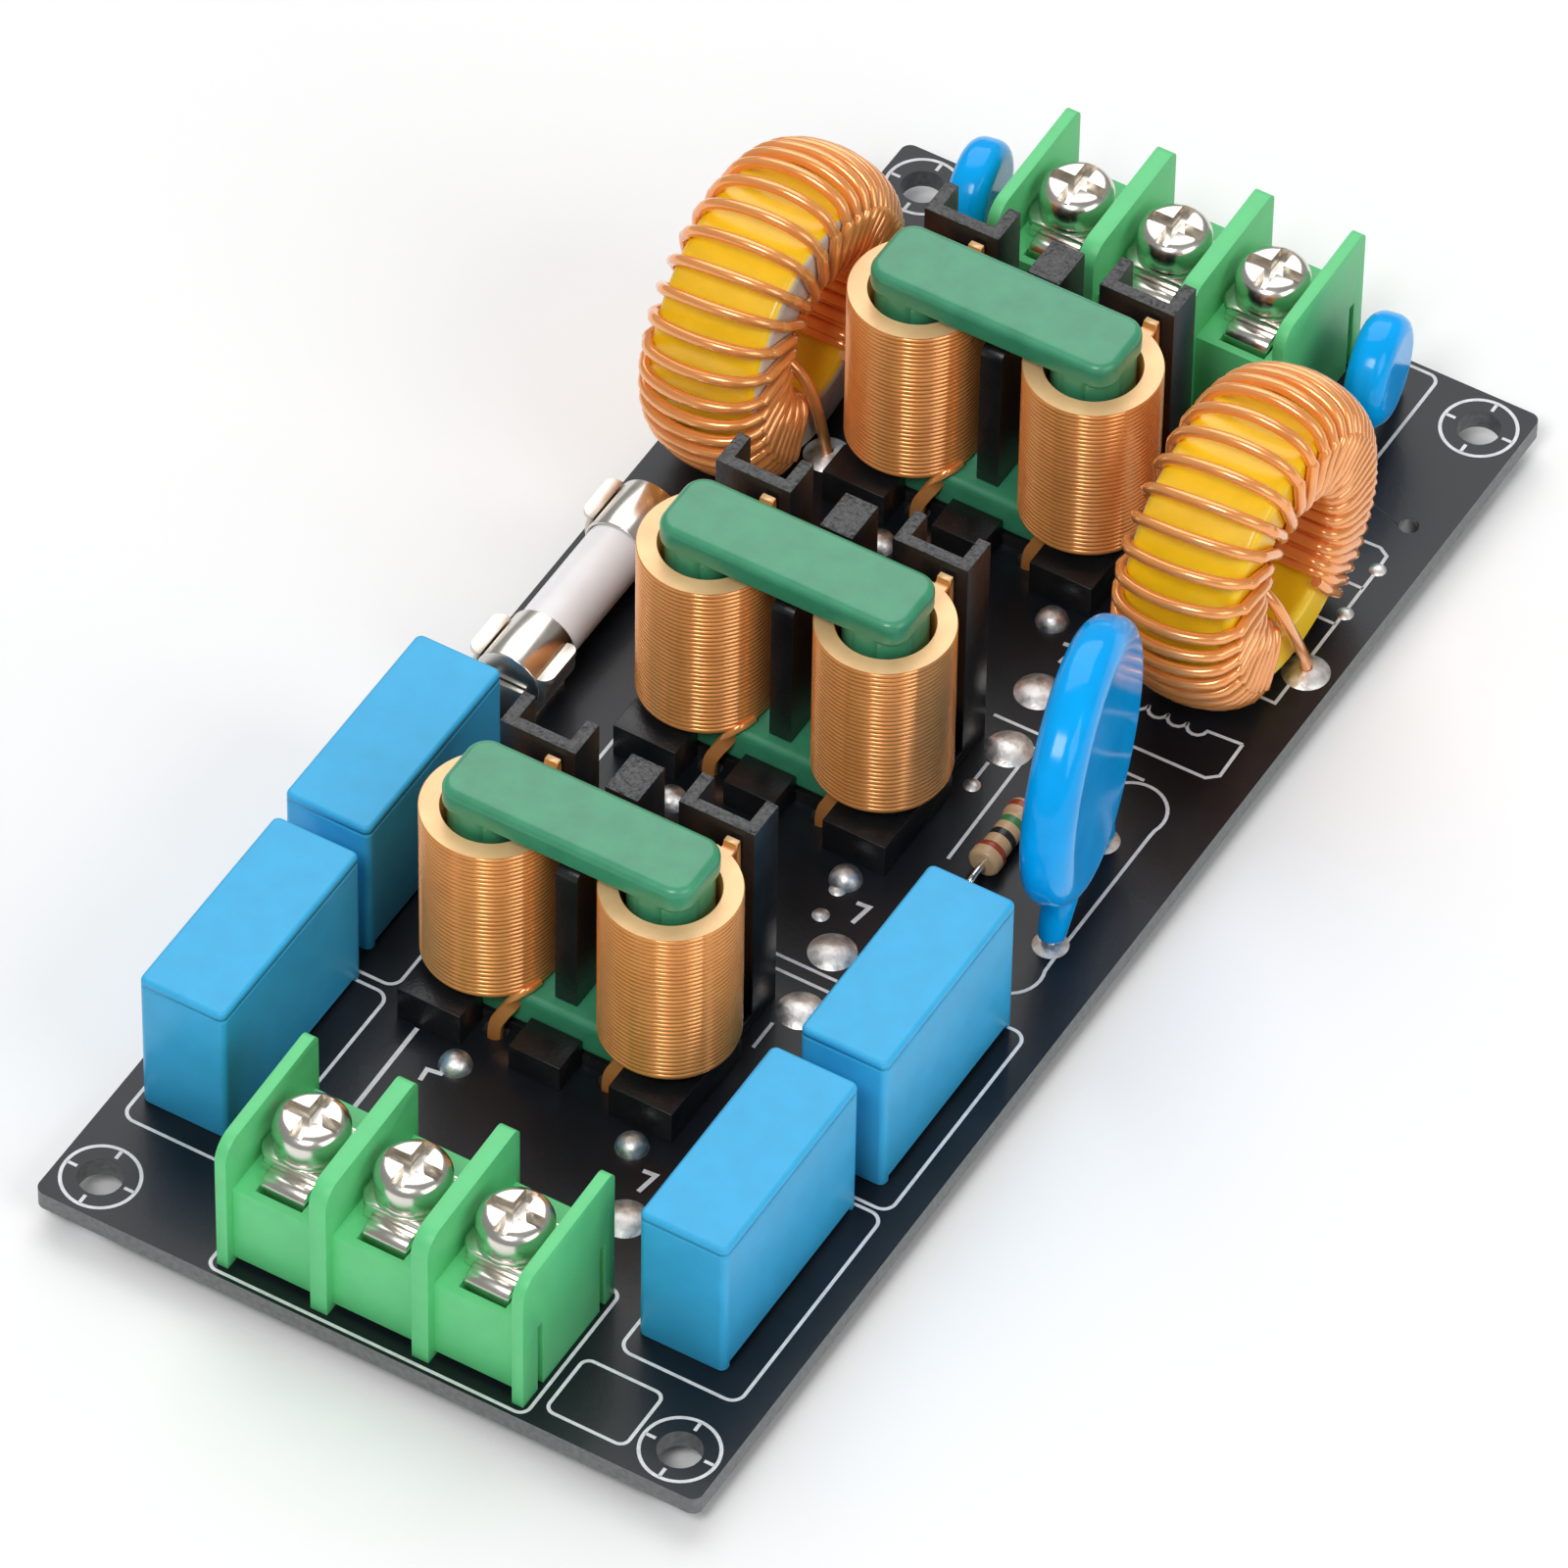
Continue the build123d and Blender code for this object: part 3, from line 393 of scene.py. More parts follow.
@dataclass
class Surface:
    """A mesh under construction, in millimetres.

    Args:
        verts: points.
        faces: corner numbers of each face.
    """

    verts: list[Point] = field(default_factory=list)
    faces: Faces = field(default_factory=list)

    def grid(self, rows: list[list[Point]], closed: bool, caps: bool = False) -> None:
        """Add a grid of points as a skin.

        Args:
            rows: rows of points, all of one length.
            closed: whether each row closes on itself.
            caps: whether the first and last rows are filled.
        """
        base, count = len(self.verts), len(rows[0])
        for row in rows:
            self.verts.extend(tuple(point) for point in row)
        across = count if closed else count - 1
        for r in range(len(rows) - 1):
            for c in range(across):
                a, b = base + r * count + c, base + r * count + (c + 1) % count
                self.faces.append((a, b, b + count, a + count))
        if caps:
            last = base + (len(rows) - 1) * count
            self.faces.append(tuple(range(base + count - 1, base - 1, -1)))
            self.faces.append(tuple(range(last, last + count)))

    def tube(self, path: list[Vector], radius: float, sides: int = 12) -> None:
        """Sweep a round section along a path.

        Args:
            path: points of the path.
            radius: radius of the section.
            sides: points round the section.
        """
        rows = []
        ahead = (path[1] - path[0]).normalized()
        side = ahead.cross(OFF_AXIS).normalized()
        for index, point in enumerate(path):
            before, after = path[max(index - 1, 0)], path[min(index + 1, len(path) - 1)]
            ahead = (after - before).normalized()
            side = (side - ahead * side.dot(ahead)).normalized()
            up = ahead.cross(side)
            rows.append([
                point + radius * (math.cos(a) * side + math.sin(a) * up)
                for a in (2 * math.pi * k / sides for k in range(sides))
            ])
        self.grid(rows, closed=True, caps=True)

    def strip(self, path: list[Flat], width: float, height: float, closed: bool = False) -> None:
        """Add a flat line of even width.

        Args:
            path: points along its middle.
            width: width of the line.
            height: height it lies at.
            closed: whether it ends where it starts.
        """
        points = [Vector(p) for p in path]
        count = len(points)
        rows = []
        for index, point in enumerate(points):
            before = points[index - 1] if index or closed else point
            after = points[(index + 1) % count] if index < count - 1 or closed else point
            leave = (after - point).normalized() if after != point else (point - before).normalized()
            arrive = (point - before).normalized() if before != point else leave
            bisector = (leave + arrive).normalized()
            normal = Vector((-bisector.y, bisector.x))
            reach = width / 2 / max(bisector.dot(leave), SHARPEST_MITRE)
            rows.append([(*(point - normal * reach), height), (*(point + normal * reach), height)])
        if closed:
            rows.append(rows[0])
        self.grid(rows, closed=False)

    def build(self, name: str, finish: Finish, smooth_angle: float = 40.0) -> bpy.types.Object:
        """Turn the skin into an object in metres.

        Args:
            name: name of the object.
            finish: its surface.
            smooth_angle: edges sharper than this stay sharp, in degrees.

        Returns:
            The object.
        """
        mesh = bpy.data.meshes.new(name)
        mesh.from_pydata([tuple(c * MM for c in v) for v in self.verts], [], self.faces)
        mesh.shade_smooth()
        mesh.set_sharp_from_angle(angle=math.radians(smooth_angle))
        mesh.materials.append(finish.material())
        piece = bpy.data.objects.new(name, mesh)
        bpy.context.scene.collection.objects.link(piece)
        return piece


@dataclass
class SoftEdged:
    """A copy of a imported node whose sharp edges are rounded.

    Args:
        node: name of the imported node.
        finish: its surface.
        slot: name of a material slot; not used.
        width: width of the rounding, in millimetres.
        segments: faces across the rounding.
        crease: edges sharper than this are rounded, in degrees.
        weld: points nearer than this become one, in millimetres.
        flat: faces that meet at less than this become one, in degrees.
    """

    node: str
    finish: Finish
    slot: str
    width: float = 0.12
    segments: int = 2
    crease: float = 35.0
    weld: float = 0.0005
    flat: float = 1.0

    def build(self) -> bpy.types.Object:
        """Build the rounded copy and hide the node.

        Returns:
            The copy.
        """
        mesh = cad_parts[self.node].data.copy()
        work = bmesh.new()
        work.from_mesh(mesh)
        bmesh.ops.remove_doubles(work, verts=work.verts, dist=self.weld * MM)
        bmesh.ops.dissolve_limit(
            work, angle_limit=math.radians(self.flat), verts=work.verts, edges=work.edges)
        sharp = [e for e in work.edges if e.is_manifold and e.calc_face_angle(0) > math.radians(self.crease)]
        bmesh.ops.bevel(
            work, geom=sharp, offset=self.width * MM, segments=self.segments, profile=0.5,
            affect="EDGES", clamp_overlap=True,
        )
        work.to_mesh(mesh)
        work.free()
        mesh.shade_smooth()
        mesh.set_sharp_from_angle(angle=math.radians(self.crease))
        mesh.materials.clear()
        mesh.materials.append(self.finish.material())
        piece = bpy.data.objects.new(self.node + "_shape", mesh)
        bpy.context.scene.collection.objects.link(piece)
        return finish_piece(piece, [self.node])


def smoothstep(share: float) -> float:
    """Ease from 0 to 1.

    Args:
        share: position between 0 and 1.

    Returns:
        The eased position.
    """
    share = min(max(share, 0.0), 1.0)
    return share * share * (3 - 2 * share)


def curve_through(points: list[Vector], steps: int) -> list[Vector]:
    """Smooth curve through some points.

    Args:
        points: the points.
        steps: samples between two neighbours.

    Returns:
        The samples.
    """
    ends = [2 * points[0] - points[1], *points, 2 * points[-1] - points[-2]]
    path = []
    for a, b, c, d in zip(ends, ends[1:], ends[2:], ends[3:]):
        for k in range(steps):
            t = k / steps
            path.append(0.5 * (2 * b + (c - a) * t + (2 * a - 5 * b + 4 * c - d) * t**2
                               + (3 * b - a - 3 * c + d) * t**3))
    return path + [points[-1]]


@dataclass
class ChokeCoil:
    """One edge-wound coil of flat wire, with its ends.

    Args:
        choke: name of its choke.
        side: -1 for the left coil, 1 for the right.
        levels: heights that its ends reach.
        turns: number of turns.
        outer, inner: radii of the wire stack.
        leg: width of the core's legs.
        bar: height of the coil above the core's foot.
        drop: depth of the coil below the core's top.
        edge: size of the soft edge at the top and bottom of the stack.
        groove: depth of the groove between turns.
        groove_floor: squared share of a half turn beyond which the groove gets no deeper.
        rows_per_turn, around: rows of points in a turn, and points in a row.
        rim_cosine, rim_depth: how far up the rim's faces look, and their depth below the top; they get a
            paler copper, painted top light.
        strap_width, strap_thickness: section of the two ends.
        strap_steps: samples between two points of an end.
        twist_rate: 1 where an end twists over its whole length, more where it is done earlier.
        front_inward, front_y: place of the front end on the board, from the coil's axis.
        front_path: points of the front end, from that place and from the bottom of the stack.
        front_wide: direction of the front end's width where it leaves the stack.
        rear_outward: place of the rear end along X, from the coil's axis.
        rear_path: points of the rear end along Y and Z, from the coil's axis and from the top of the stack.
        x, y, bottom, top: axis and ends of the stack, which build works out from the core.
    """

    choke: str
    side: int
    levels: Levels
    turns: int = 35
    outer: float = 5.15
    inner: float = 3.6
    leg: float = 5.8
    bar: float = 3.2
    drop: float = 3.2
    edge: float = 0.07
    groove: float = 0.22
    groove_floor: float = 0.98
    rows_per_turn: int = 6
    around: int = 84
    rim_cosine: float = 0.9
    rim_depth: float = 0.01
    strap_width: float = 1.1
    strap_thickness: float = 0.5
    strap_steps: int = 6
    twist_rate: float = 1.4
    front_inward: float = 2.6
    front_y: float = -3.75
    front_path: tuple[Point, ...] = (
        (2.0, 2.3, 0.3), (1.7, 1.1, 0.1), (1.2, 0.4, -0.8), (0.5, 0.1, -2.2), (0.0, 0.0, -3.8))
    front_wide: Point = (-0.35, 1.0, 0.0)
    rear_outward: float = 1.6
    rear_path: tuple[Flat, ...] = ((4.2, -0.25), (5.2, -0.25), (5.7, -0.9))
    x: float = field(init=False, default=0.0)
    y: float = field(init=False, default=0.0)
    bottom: float = field(init=False, default=0.0)
    top: float = field(init=False, default=0.0)

    def build(self) -> bpy.types.Object:
        """Build the coil and hide its node.

        Returns:
            The coil.
        """
        low, high = (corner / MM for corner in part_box(f"{self.choke}_choke_core"))
        self.y = (low.y + high.y) / 2
        middle = (low.x + high.x) / 2
        self.x = middle + self.side * ((high.x - low.x) - self.leg) / 2
        self.bottom = low.z + self.bar
        self.top = high.z - self.drop
        skin = Surface()
        skin.grid(self.profile_rows(), closed=True)
        self.add_ends(skin)
        name = f"{self.choke}_choke_{'left' if self.side < 0 else 'right'}_coil"
        piece = skin.build(name + "_turns", COPPER, smooth_angle=45)
        # The up-facing top of the stack takes the paler copper: painted top light.
        piece.data.materials.append(RIM_PAINTED_LIGHT.material())
        lowest = (self.top - self.rim_depth) * MM
        for face in piece.data.polygons:
            face.material_index = int(face.normal.z > self.rim_cosine and face.center.z > lowest)
        return finish_piece(piece, [name])

    def profile_rows(self) -> list[list[Point]]:
        """Rows of points down the outside, round the ends and up the inside.

        Returns:
            The rows.
        """
        rows = []
        count = self.turns * self.rows_per_turn
        low, high, edge = self.bottom + self.edge, self.top - self.edge, self.edge
        for index in range(count + 1):
            rise = index / count
            row = []
            for k in range(self.around):
                turn = k / self.around
                phase = (rise * self.turns - turn) % 1
                depth = min((2 * abs(phase - 0.5)) ** 2, self.groove_floor)
                dip = self.groove * (1 - math.sqrt(1 - depth))
                row.append(self.point(self.outer - dip, turn, low + (high - low) * rise))
            rows.append(row)
        ring = ((self.outer - edge, self.top), (self.inner + edge, self.top), (self.inner, high),
                (self.inner, low), (self.inner + edge, self.bottom), (self.outer - edge, self.bottom))
        for radius, z in ring:
            rows.append([self.point(radius, k / self.around, z) for k in range(self.around)])
        rows.append(rows[0])
        return rows

    def point(self, radius: float, turn: float, z: float) -> Point:
        """A point at a radius, a share of a turn and a height.

        Args:
            radius: distance from the coil's axis.
            turn: share of a turn.
            z: height.

        Returns:
            The point.
        """
        angle = 2 * math.pi * turn
        return (self.x + radius * math.cos(angle), self.y + radius * math.sin(angle), z)

    def add_ends(self, skin: Surface) -> None:
        """Add the two wire ends that run down to the board.

        Args:
            skin: mesh to add to.
        """
        across = Vector((1, 0, 0))
        foot = Vector((self.x - self.side * self.front_inward, self.y + self.front_y, self.bottom))
        front = [foot + Vector(step) for step in self.front_path]
        front.append(Vector((foot.x, foot.y, self.levels.tail)))
        x = self.x + self.rear_outward
        rear = [Vector((x, self.y + along, self.top + rise)) for along, rise in self.rear_path]
        rear += [Vector((x, rear[-1].y, z)) for z in (self.bottom, self.levels.tail)]
        self.ribbon(skin, curve_through(front, self.strap_steps), (Vector(self.front_wide), across))
        self.ribbon(skin, curve_through(rear, self.strap_steps), (across, across))

    def ribbon(self, skin: Surface, path: list[Vector], wide: tuple[Vector, Vector]) -> None:
        """Sweep a flat section that may twist on its way.

        Args:
            skin: mesh to add to.
            path: points of the middle line.
            wide: directions of the section's width at the first and last point.
        """
        rows = []
        last = len(path) - 1
        for index, point in enumerate(path):
            ahead = (path[min(index + 1, last)] - path[max(index - 1, 0)]).normalized()
            side = wide[0].lerp(wide[1], smoothstep(index / last * self.twist_rate))
            side = (side - ahead * side.dot(ahead)).normalized()
            up = ahead.cross(side)
            rows.append([point + side * a * self.strap_width / 2 + up * b * self.strap_thickness / 2
                         for a, b in STRAP_SECTION])
        skin.grid(rows, closed=True, caps=True)


@dataclass
class ToroidWinding:
    """Round wire wound on one toroid, wide apart in front and close behind.

    Args:
        name: left or right.
        shown_y: where the shown lead enters the board, along Y.
        levels: heights that its leads reach.
        turns: number of turns.
        wire: radius of the wire.
        half_width: half of the winding's width along X.
        crown, inner: outer and inner radii of the winding.
        corner: size of the wire's bend at the hole.
        corner_cut: share of that size at which the middle of the bend lies.
        layer: how much nearer to the axis every other turn lies in the hole.
        lean: share of a turn by which the wire moves on over the crown.
        evenness: 1 where the turns lie evenly in the hole, 0 where they follow the outside.
        gap: angle that the winding leaves free on each side of the bottom, in degrees.
        zones: arcs of the ring, in degrees, with the spacing of the turns there.
        arch: points of the wire over the crown, as shares of its reach and depths below its top.
        side_shares: shares of a side face at which the wire has a point.
        shown_reach: how far along X from the ring's middle the shown lead enters the board.
        shown_bend: first bend of the shown lead, from where it enters the board.
        shown_path: points of the shown lead beside the ring, from the ring's middle.
        shown_last: its last point in the hole, as x, radius and angle.
        hidden: upper end of the lead under the ring, from the ring's middle.
        centre: the ring's middle, which build works out from the core.
    """

    name: str
    shown_y: float
    levels: Levels
    turns: int = 39
    wire: float = 0.45
    half_width: float = 5.4
    crown: float = 12.9
    inner: float = 5.2
    corner: float = 1.3
    corner_cut: float = 0.3
    layer: float = 0.5
    lean: float = 0.4
    evenness: float = 0.3
    gap: float = 30.0
    zones: tuple[Flat, ...] = ((25, 1.1), (45, 1.55), (90, 2.2), (30, 1.5), (110, 1.1))
    arch: tuple[Flat, ...] = ((0.97, 2.6), (0.86, 1.5), (0.66, 0.72), (0.36, 0.2), (0.0, 0.0))
    side_shares: Point = (0.0, 0.5, 0.9)
    shown_reach: float = 5.5
    shown_bend: Point = (-0.1, -0.4, 2.2)
    shown_path: tuple[Point, ...] = ((5.3, -3.4, -2.6), (4.0, -3.9, -0.2), (1.2, -4.0, 0.9))
    shown_last: Point = (-1.6, 4.8, 70.0)
    hidden: Point = (-2.5, 6.2, -9.5)
    centre: Vector = field(init=False, default_factory=Vector)

    def build(self) -> bpy.types.Object:
        """Build the winding and hide its node.

        Returns:
            The winding.
        """
        low, high = (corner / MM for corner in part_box(f"{self.name}_toroid_ring"))
        self.centre = (low + high) / 2
        skin = Surface()
        skin.tube(self.helix(), self.wire)
        skin.tube(self.hidden_lead(), self.wire)
        piece = skin.build(f"{self.name}_toroid_turns", WIRE, smooth_angle=60)
        return finish_piece(piece, [f"{self.name}_toroid_winding"])

    def outer_angle(self, turn: float) -> float:
        """Angle of a turn on the outside of the ring.

        Args:
            turn: number of the turn, from the front end of the winding.

        Returns:
            The angle from the bottom, through the front and over the top.
        """
        total = sum(span / pitch for span, pitch in self.zones)
        want = turn / self.turns * total
        angle = self.gap
        for span, pitch in self.zones:
            if want <= span / pitch:
                return angle + want * pitch
            want -= span / pitch
            angle += span
        return angle + want * self.zones[-1][1]

    def inner_angle(self, turn: float) -> float:
        """Angle of a turn inside the hole, where the turns lie evenly.

        Args:
            turn: number of the turn.

        Returns:
            The angle from the bottom.
        """
        return self.gap + (360 - 2 * self.gap) * turn / self.turns

    def place(self, x: float, radius: float, angle: float) -> Vector:
        """Point beside the ring.

        Args:
            x: distance along the ring's axis.
            radius: distance from the axis.
            angle: angle from the bottom towards the front, in degrees.

        Returns:
            The point.
        """
        turn = math.radians(angle)
        return self.centre + Vector((x, -radius * math.sin(turn), -radius * math.cos(turn)))

    def bore_angle(self, turn: float) -> float:
        """Angle of a turn inside the hole, between the even spacing and the outside's.

        Args:
            turn: number of the turn.

        Returns:
            The angle from the bottom.
        """
        return self.evenness * self.inner_angle(turn) + (1 - self.evenness) * self.outer_angle(turn)

    def helix(self) -> list[Vector]:
        """Middle line of the wire, from the shown lead through all turns.

        Returns:
            The points.
        """
        reach = self.half_width - self.wire
        far, cut = self.crown - self.wire, self.corner
        bend = cut * self.corner_cut
        shoulder = far - self.arch[0][1]
        over = [(-share, dip) for share, dip in self.arch] + list(self.arch[-2::-1])
        path = []
        for turn in range(self.turns):
            near, later = (self.inner + self.wire - self.layer * ((turn + k) % 2) for k in (0, 1))
            inside, outside = self.bore_angle(turn), self.outer_angle(turn)
            following, beyond = self.bore_angle(turn + 1), self.outer_angle(turn + self.lean)
            path += [self.place(x, near, inside) for x in (reach - cut, 0, cut - reach)]
            path.append(self.place(bend - reach, near + bend, inside))
            path += self.side_face(-reach, (near + cut, shoulder), (inside, outside))
            for index, (share, dip) in enumerate(over):
                angle = outside + (beyond - outside) * index / (len(over) - 1)
                path.append(self.place(share * reach, far - dip, angle))
            path += self.side_face(reach, (shoulder, later + cut), (beyond, following))
            path.append(self.place(reach - bend, later + bend, following))
        # The shown lead takes the place of the first turn's first two points.
        return curve_through(self.shown_lead() + path[2:], 2)

    def side_face(self, x: float, radii: Flat, angles: Flat) -> list[Vector]:
        """Points of one turn on a side face of the ring.

        Args:
            x: distance along the ring's axis.
            radii: first and last radius.
            angles: first and last angle.

        Returns:
            The points.
        """
        path = []
        for share in self.side_shares:
            radius = radii[0] + (radii[1] - radii[0]) * share
            path.append(self.place(x, radius, angles[0] + (angles[1] - angles[0]) * smoothstep(share)))
        return path

    def shown_lead(self) -> list[Vector]:
        """The lead beside the ring, from the board up to the hole.

        Returns:
            Its points.
        """
        x = self.centre.x + self.shown_reach
        entry = Vector((x, self.shown_y, self.levels.top))
        return [
            Vector((x, self.shown_y, self.levels.tail)), entry, entry + Vector(self.shown_bend),
            *(self.centre + Vector(step) for step in self.shown_path), self.place(*self.shown_last),
        ]

    def hidden_lead(self) -> list[Vector]:
        """The lead under the ring.

        Returns:
            Its points.
        """
        end = self.centre + Vector(self.hidden)
        return [Vector((end.x, end.y, z)) for z in (self.levels.tail, self.levels.top, end.z)]


@dataclass
class ToroidRing:
    """One ring core with soft edges, yellow with one white side face.

    Args:
        name: left or right.
        white_side: -1 where the white face looks along -X, 1 along +X.
        edge: width of the soft edges, in millimetres.
        white_cosine: faces that look nearer than this along X are white.
    """

    name: str
    white_side: int
    edge: float = 1.0
    white_cosine: float = 0.72

    def build(self) -> bpy.types.Object:
        """Build the ring and hide its node.

        Returns:
            The ring.
        """
        node = f"{self.name}_toroid_ring"
        piece = SoftEdged(node, YELLOW, "toroid_core_coating", width=self.edge, segments=5).build()
        piece.data.materials.append(WHITE.material())
        for face in piece.data.polygons:
            face.material_index = int(face.normal.x * self.white_side > self.white_cosine)
        return piece


@dataclass
class Dipped:
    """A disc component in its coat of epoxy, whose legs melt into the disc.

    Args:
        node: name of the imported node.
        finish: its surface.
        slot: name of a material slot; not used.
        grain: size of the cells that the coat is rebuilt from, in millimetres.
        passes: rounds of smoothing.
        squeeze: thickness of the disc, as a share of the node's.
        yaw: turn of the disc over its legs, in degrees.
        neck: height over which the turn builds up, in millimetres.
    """

    node: str
    finish: Finish
    slot: str
    grain: float = 0.22
    passes: int = 12
    squeeze: float = 1.0
    yaw: float = 0.0
    neck: float = 6.0

    def build(self) -> bpy.types.Object:
        """Build the coat and hide the node.

        Returns:
            The coat.
        """
        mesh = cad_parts[self.node].data.copy()
        low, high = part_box(self.node)
        middle = (low + high) / 2
        for vertex in mesh.vertices:
            share = smoothstep((vertex.co.z - low.z) / (self.neck * MM))
            x, y, z = vertex.co - middle
            turn = Matrix.Rotation(math.radians(self.yaw) * share, 3, "Z")
            vertex.co = middle + turn @ Vector((x * (1 - (1 - self.squeeze) * share), y, z))
        piece = bpy.data.objects.new(self.node + "_coat", mesh)
        bpy.context.scene.collection.objects.link(piece)
        mesh.materials.clear()
        mesh.materials.append(self.finish.material())
        remesh = piece.modifiers.new("remesh", "REMESH")
        remesh.mode = "VOXEL"
        remesh.voxel_size = self.grain * MM
        remesh.use_smooth_shade = True
        smooth = piece.modifiers.new("smooth", "SMOOTH")
        smooth.iterations = self.passes
        settled = bpy.data.meshes.new_from_object(piece.evaluated_get(bpy.context.evaluated_depsgraph_get()))
        piece.modifiers.clear()
        piece.data = settled
        return finish_piece(piece, [self.node])


def arc(x: float, y: float, radius: float, start: float, end: float, steps: int = 8) -> list[Flat]:
    """Points along an arc.

    Args:
        x, y: its centre.
        radius: its radius.
        start, end: its angles in degrees.
        steps: number of chords.

    Returns:
        The points.
    """
    return [
        (x + radius * math.cos(a), y + radius * math.sin(a))
        for a in (math.radians(start + (end - start) * k / steps) for k in range(steps + 1))
    ]


def rounded(x0: float, y0: float, x1: float, y1: float, radius: float) -> list[Flat]:
    """Outline of a rectangle with round corners.

    Args:
        x0, y0: its lowest corner.
        x1, y1: its highest corner.
        radius: radius of the corners.

    Returns:
        The points.
    """
    low_x, low_y, high_x, high_y = x0 + radius, y0 + radius, x1 - radius, y1 - radius
    return (arc(high_x, high_y, radius, 0, 90) + arc(low_x, high_y, radius, 90, 180)
            + arc(low_x, low_y, radius, 180, 270) + arc(high_x, low_y, radius, 270, 360))


@dataclass
class BoardPrint:
    """White lines printed on the component side.

    Args:
        levels: heights that the print lies at.
        line: width of the lines.
        thick: width of the heavy lines.
        lift: height of the print above the mask.
        hole_reach: place of the mounting holes, from the board's middle.
        ring: radius of the ring round each of them.
        ring_steps: chords of that ring.
        tick: first and last radius of the ticks inside the ring.
        frames: corners and corner radius of each frame.
    """

    levels: Levels
    line: float = 0.27
    thick: float = 0.36
    lift: float = 0.02
    hole_reach: Flat = (23.6, 56.6)
    ring: float = 2.85
    ring_steps: int = 48
    tick: Flat = (1.95, 2.75)
    frames: tuple[tuple[float, ...], ...] = (
        (-13.0, -59.6, 12.9, -46.7, 0.8), (15.3, -51.1, 24.9, -31.3, 1.0), (15.3, -30.8, 25.0, -11.6, 1.0),
        (-25.4, -51.1, -15.3, -31.8, 1.0), (-25.6, -31.0, -15.3, -10.2, 1.0), (13.8, -58.4, 20.2, -53.0, 0.7),
        (-13.0, 45.8, 18.7, 59.5, 0.8))

    def build(self) -> bpy.types.Object:
        """Build all lines as one piece.

        Returns:
            The print.
        """
        skin = Surface()
        height = self.levels.top + self.lift
        for side_x in (-1, 1):
            for side_y in (-1, 1):
                x, y = side_x * self.hole_reach[0], side_y * self.hole_reach[1]
                skin.strip(arc(x, y, self.ring, 0, 360, self.ring_steps)[:-1], self.line, height, closed=True)
                for turn in (0, 90, 180, 270):
                    c, s = math.cos(math.radians(turn)), math.sin(math.radians(turn))
                    skin.strip([(x + r * c, y + r * s) for r in self.tick], self.line, height)
        for corners in self.frames:
            skin.strip(rounded(*corners), self.line, height, closed=True)
        for path in self.paths():
            skin.strip(path, self.line, height)
        for path in self.heavy():
            skin.strip(path, self.thick, height)
        piece = skin.build("board_print", PRINT)
        return finish_piece(piece, [])

    def paths(self) -> list[list[Flat]]:
        """Thin lines: outlines, symbols and links between pads.

        Returns:
            One list of points per line.
        """
        varistor = (arc(20.6, 10.8, 2.6, 130, -20, 14) + [(23.0, 9.2), (23.0, -4.2)]
                    + arc(20.6, -6.6, 2.6, 20, -130, 14))
        humps = [(13.6, 20.3)]
        for k in range(4):
            humps += arc(15.9 + 1.6 * k, 20.2, 0.8, 180, 360, 6)
        return [
            varistor, humps + [(24.3, 20.4)], [(15.0, 16.1), (23.6, 16.2), (24.4, 16.9), (24.3, 20.4)],
            [(11.6, 12.4), (11.8, -0.1)], [(9.6, 9.4), (9.6, 7.5)], [(9.1, -19.9), (9.1, -22.6)],
            [(5.3, -14.2), (11.0, -14.2)], [(5.3, -15.4), (11.0, -15.4)], [(7.6, 13.6), (20.0, 13.7)],
            [(24.2, 40.1), (24.3, 25.1), (22.0, 25.1)], [(22.5, 38.2), (24.2, 38.2)],
            [(22.3, 34.1), (24.2, 34.1)],
            [(20.0, 42.3), (23.3, 42.4), (24.1, 41.9), (24.2, 40.4)],
            [(-14.4, -31.4), (-14.4, 20.0), (-14.0, 21.0)], [(-25.4, -8.5), (-25.4, 19.5), (-14.4, 19.5)],
        ]

    def heavy(self) -> list[list[Flat]]:
        """Heavy lines: corner marks of the chokes and one bar.

        Returns:
            One list of points per line.
        """
        marks = [[(-12.0, -33.4), (-11.9, -42.0)]]
        for y in (-36.3, -7.0, 22.3):
            marks.append([(8.4, y - 0.1), (9.4, y), (9.1, y - 1.9)])
            marks.append([(-9.3, y - 1.1), (-9.4, y), (-8.2, y + 0.2)])
        return marks


@dataclass
class Board:
    """The laminate with its mask and its bare edge.

    Args:
        upright_sine: faces whose normal lies flatter than this count as the edge.
        spare_hole: place of the plated hole that carries no piece.
        plated_reach: radius that its plating lies within.
    """

    upright_sine: float = 0.87
    spare_hole: Flat = (24.0, 45.4)
    plated_reach: float = 0.85

    def build(self) -> bpy.types.Object:
        """Build the board and hide its node.

        Returns:
            The board.
        """
        piece = SoftEdged("circuit_board", MASK, "board_laminate", width=0.06, segments=1).build()
        piece.data.materials.append(LAMINATE.material())
        piece.data.materials.append(TIN.material())
        hole = Vector((*self.spare_hole, 0)) * MM
        for face in piece.data.polygons:
            upright = face.normal.to_2d().length > self.upright_sine
            plated = upright and (face.center - hole).to_2d().length < self.plated_reach * MM
            face.material_index = int(upright) + int(plated)
        return piece


@dataclass
class ChokeBase:
    """One choke base, whose posts are torn open on top.

    Args:
        node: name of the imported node.
        torn: how far below the top the torn faces reach, in millimetres.
        level_cosine: faces that look up more than this can be torn.
    """

    node: str
    torn: float = 1.2
    level_cosine: float = 0.9

    def build(self) -> bpy.types.Object:
        """Build the base and hide its node.

        Returns:
            The base.
        """
        piece = SoftEdged(self.node, BLACK, "choke_base_plastic", width=0.2).build()
        piece.data.materials.append(TORN.material())
        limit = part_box(self.node)[1].z - self.torn * MM
        for face in piece.data.polygons:
            face.material_index = int(face.center.z > limit and face.normal.z > self.level_cosine)
        return piece


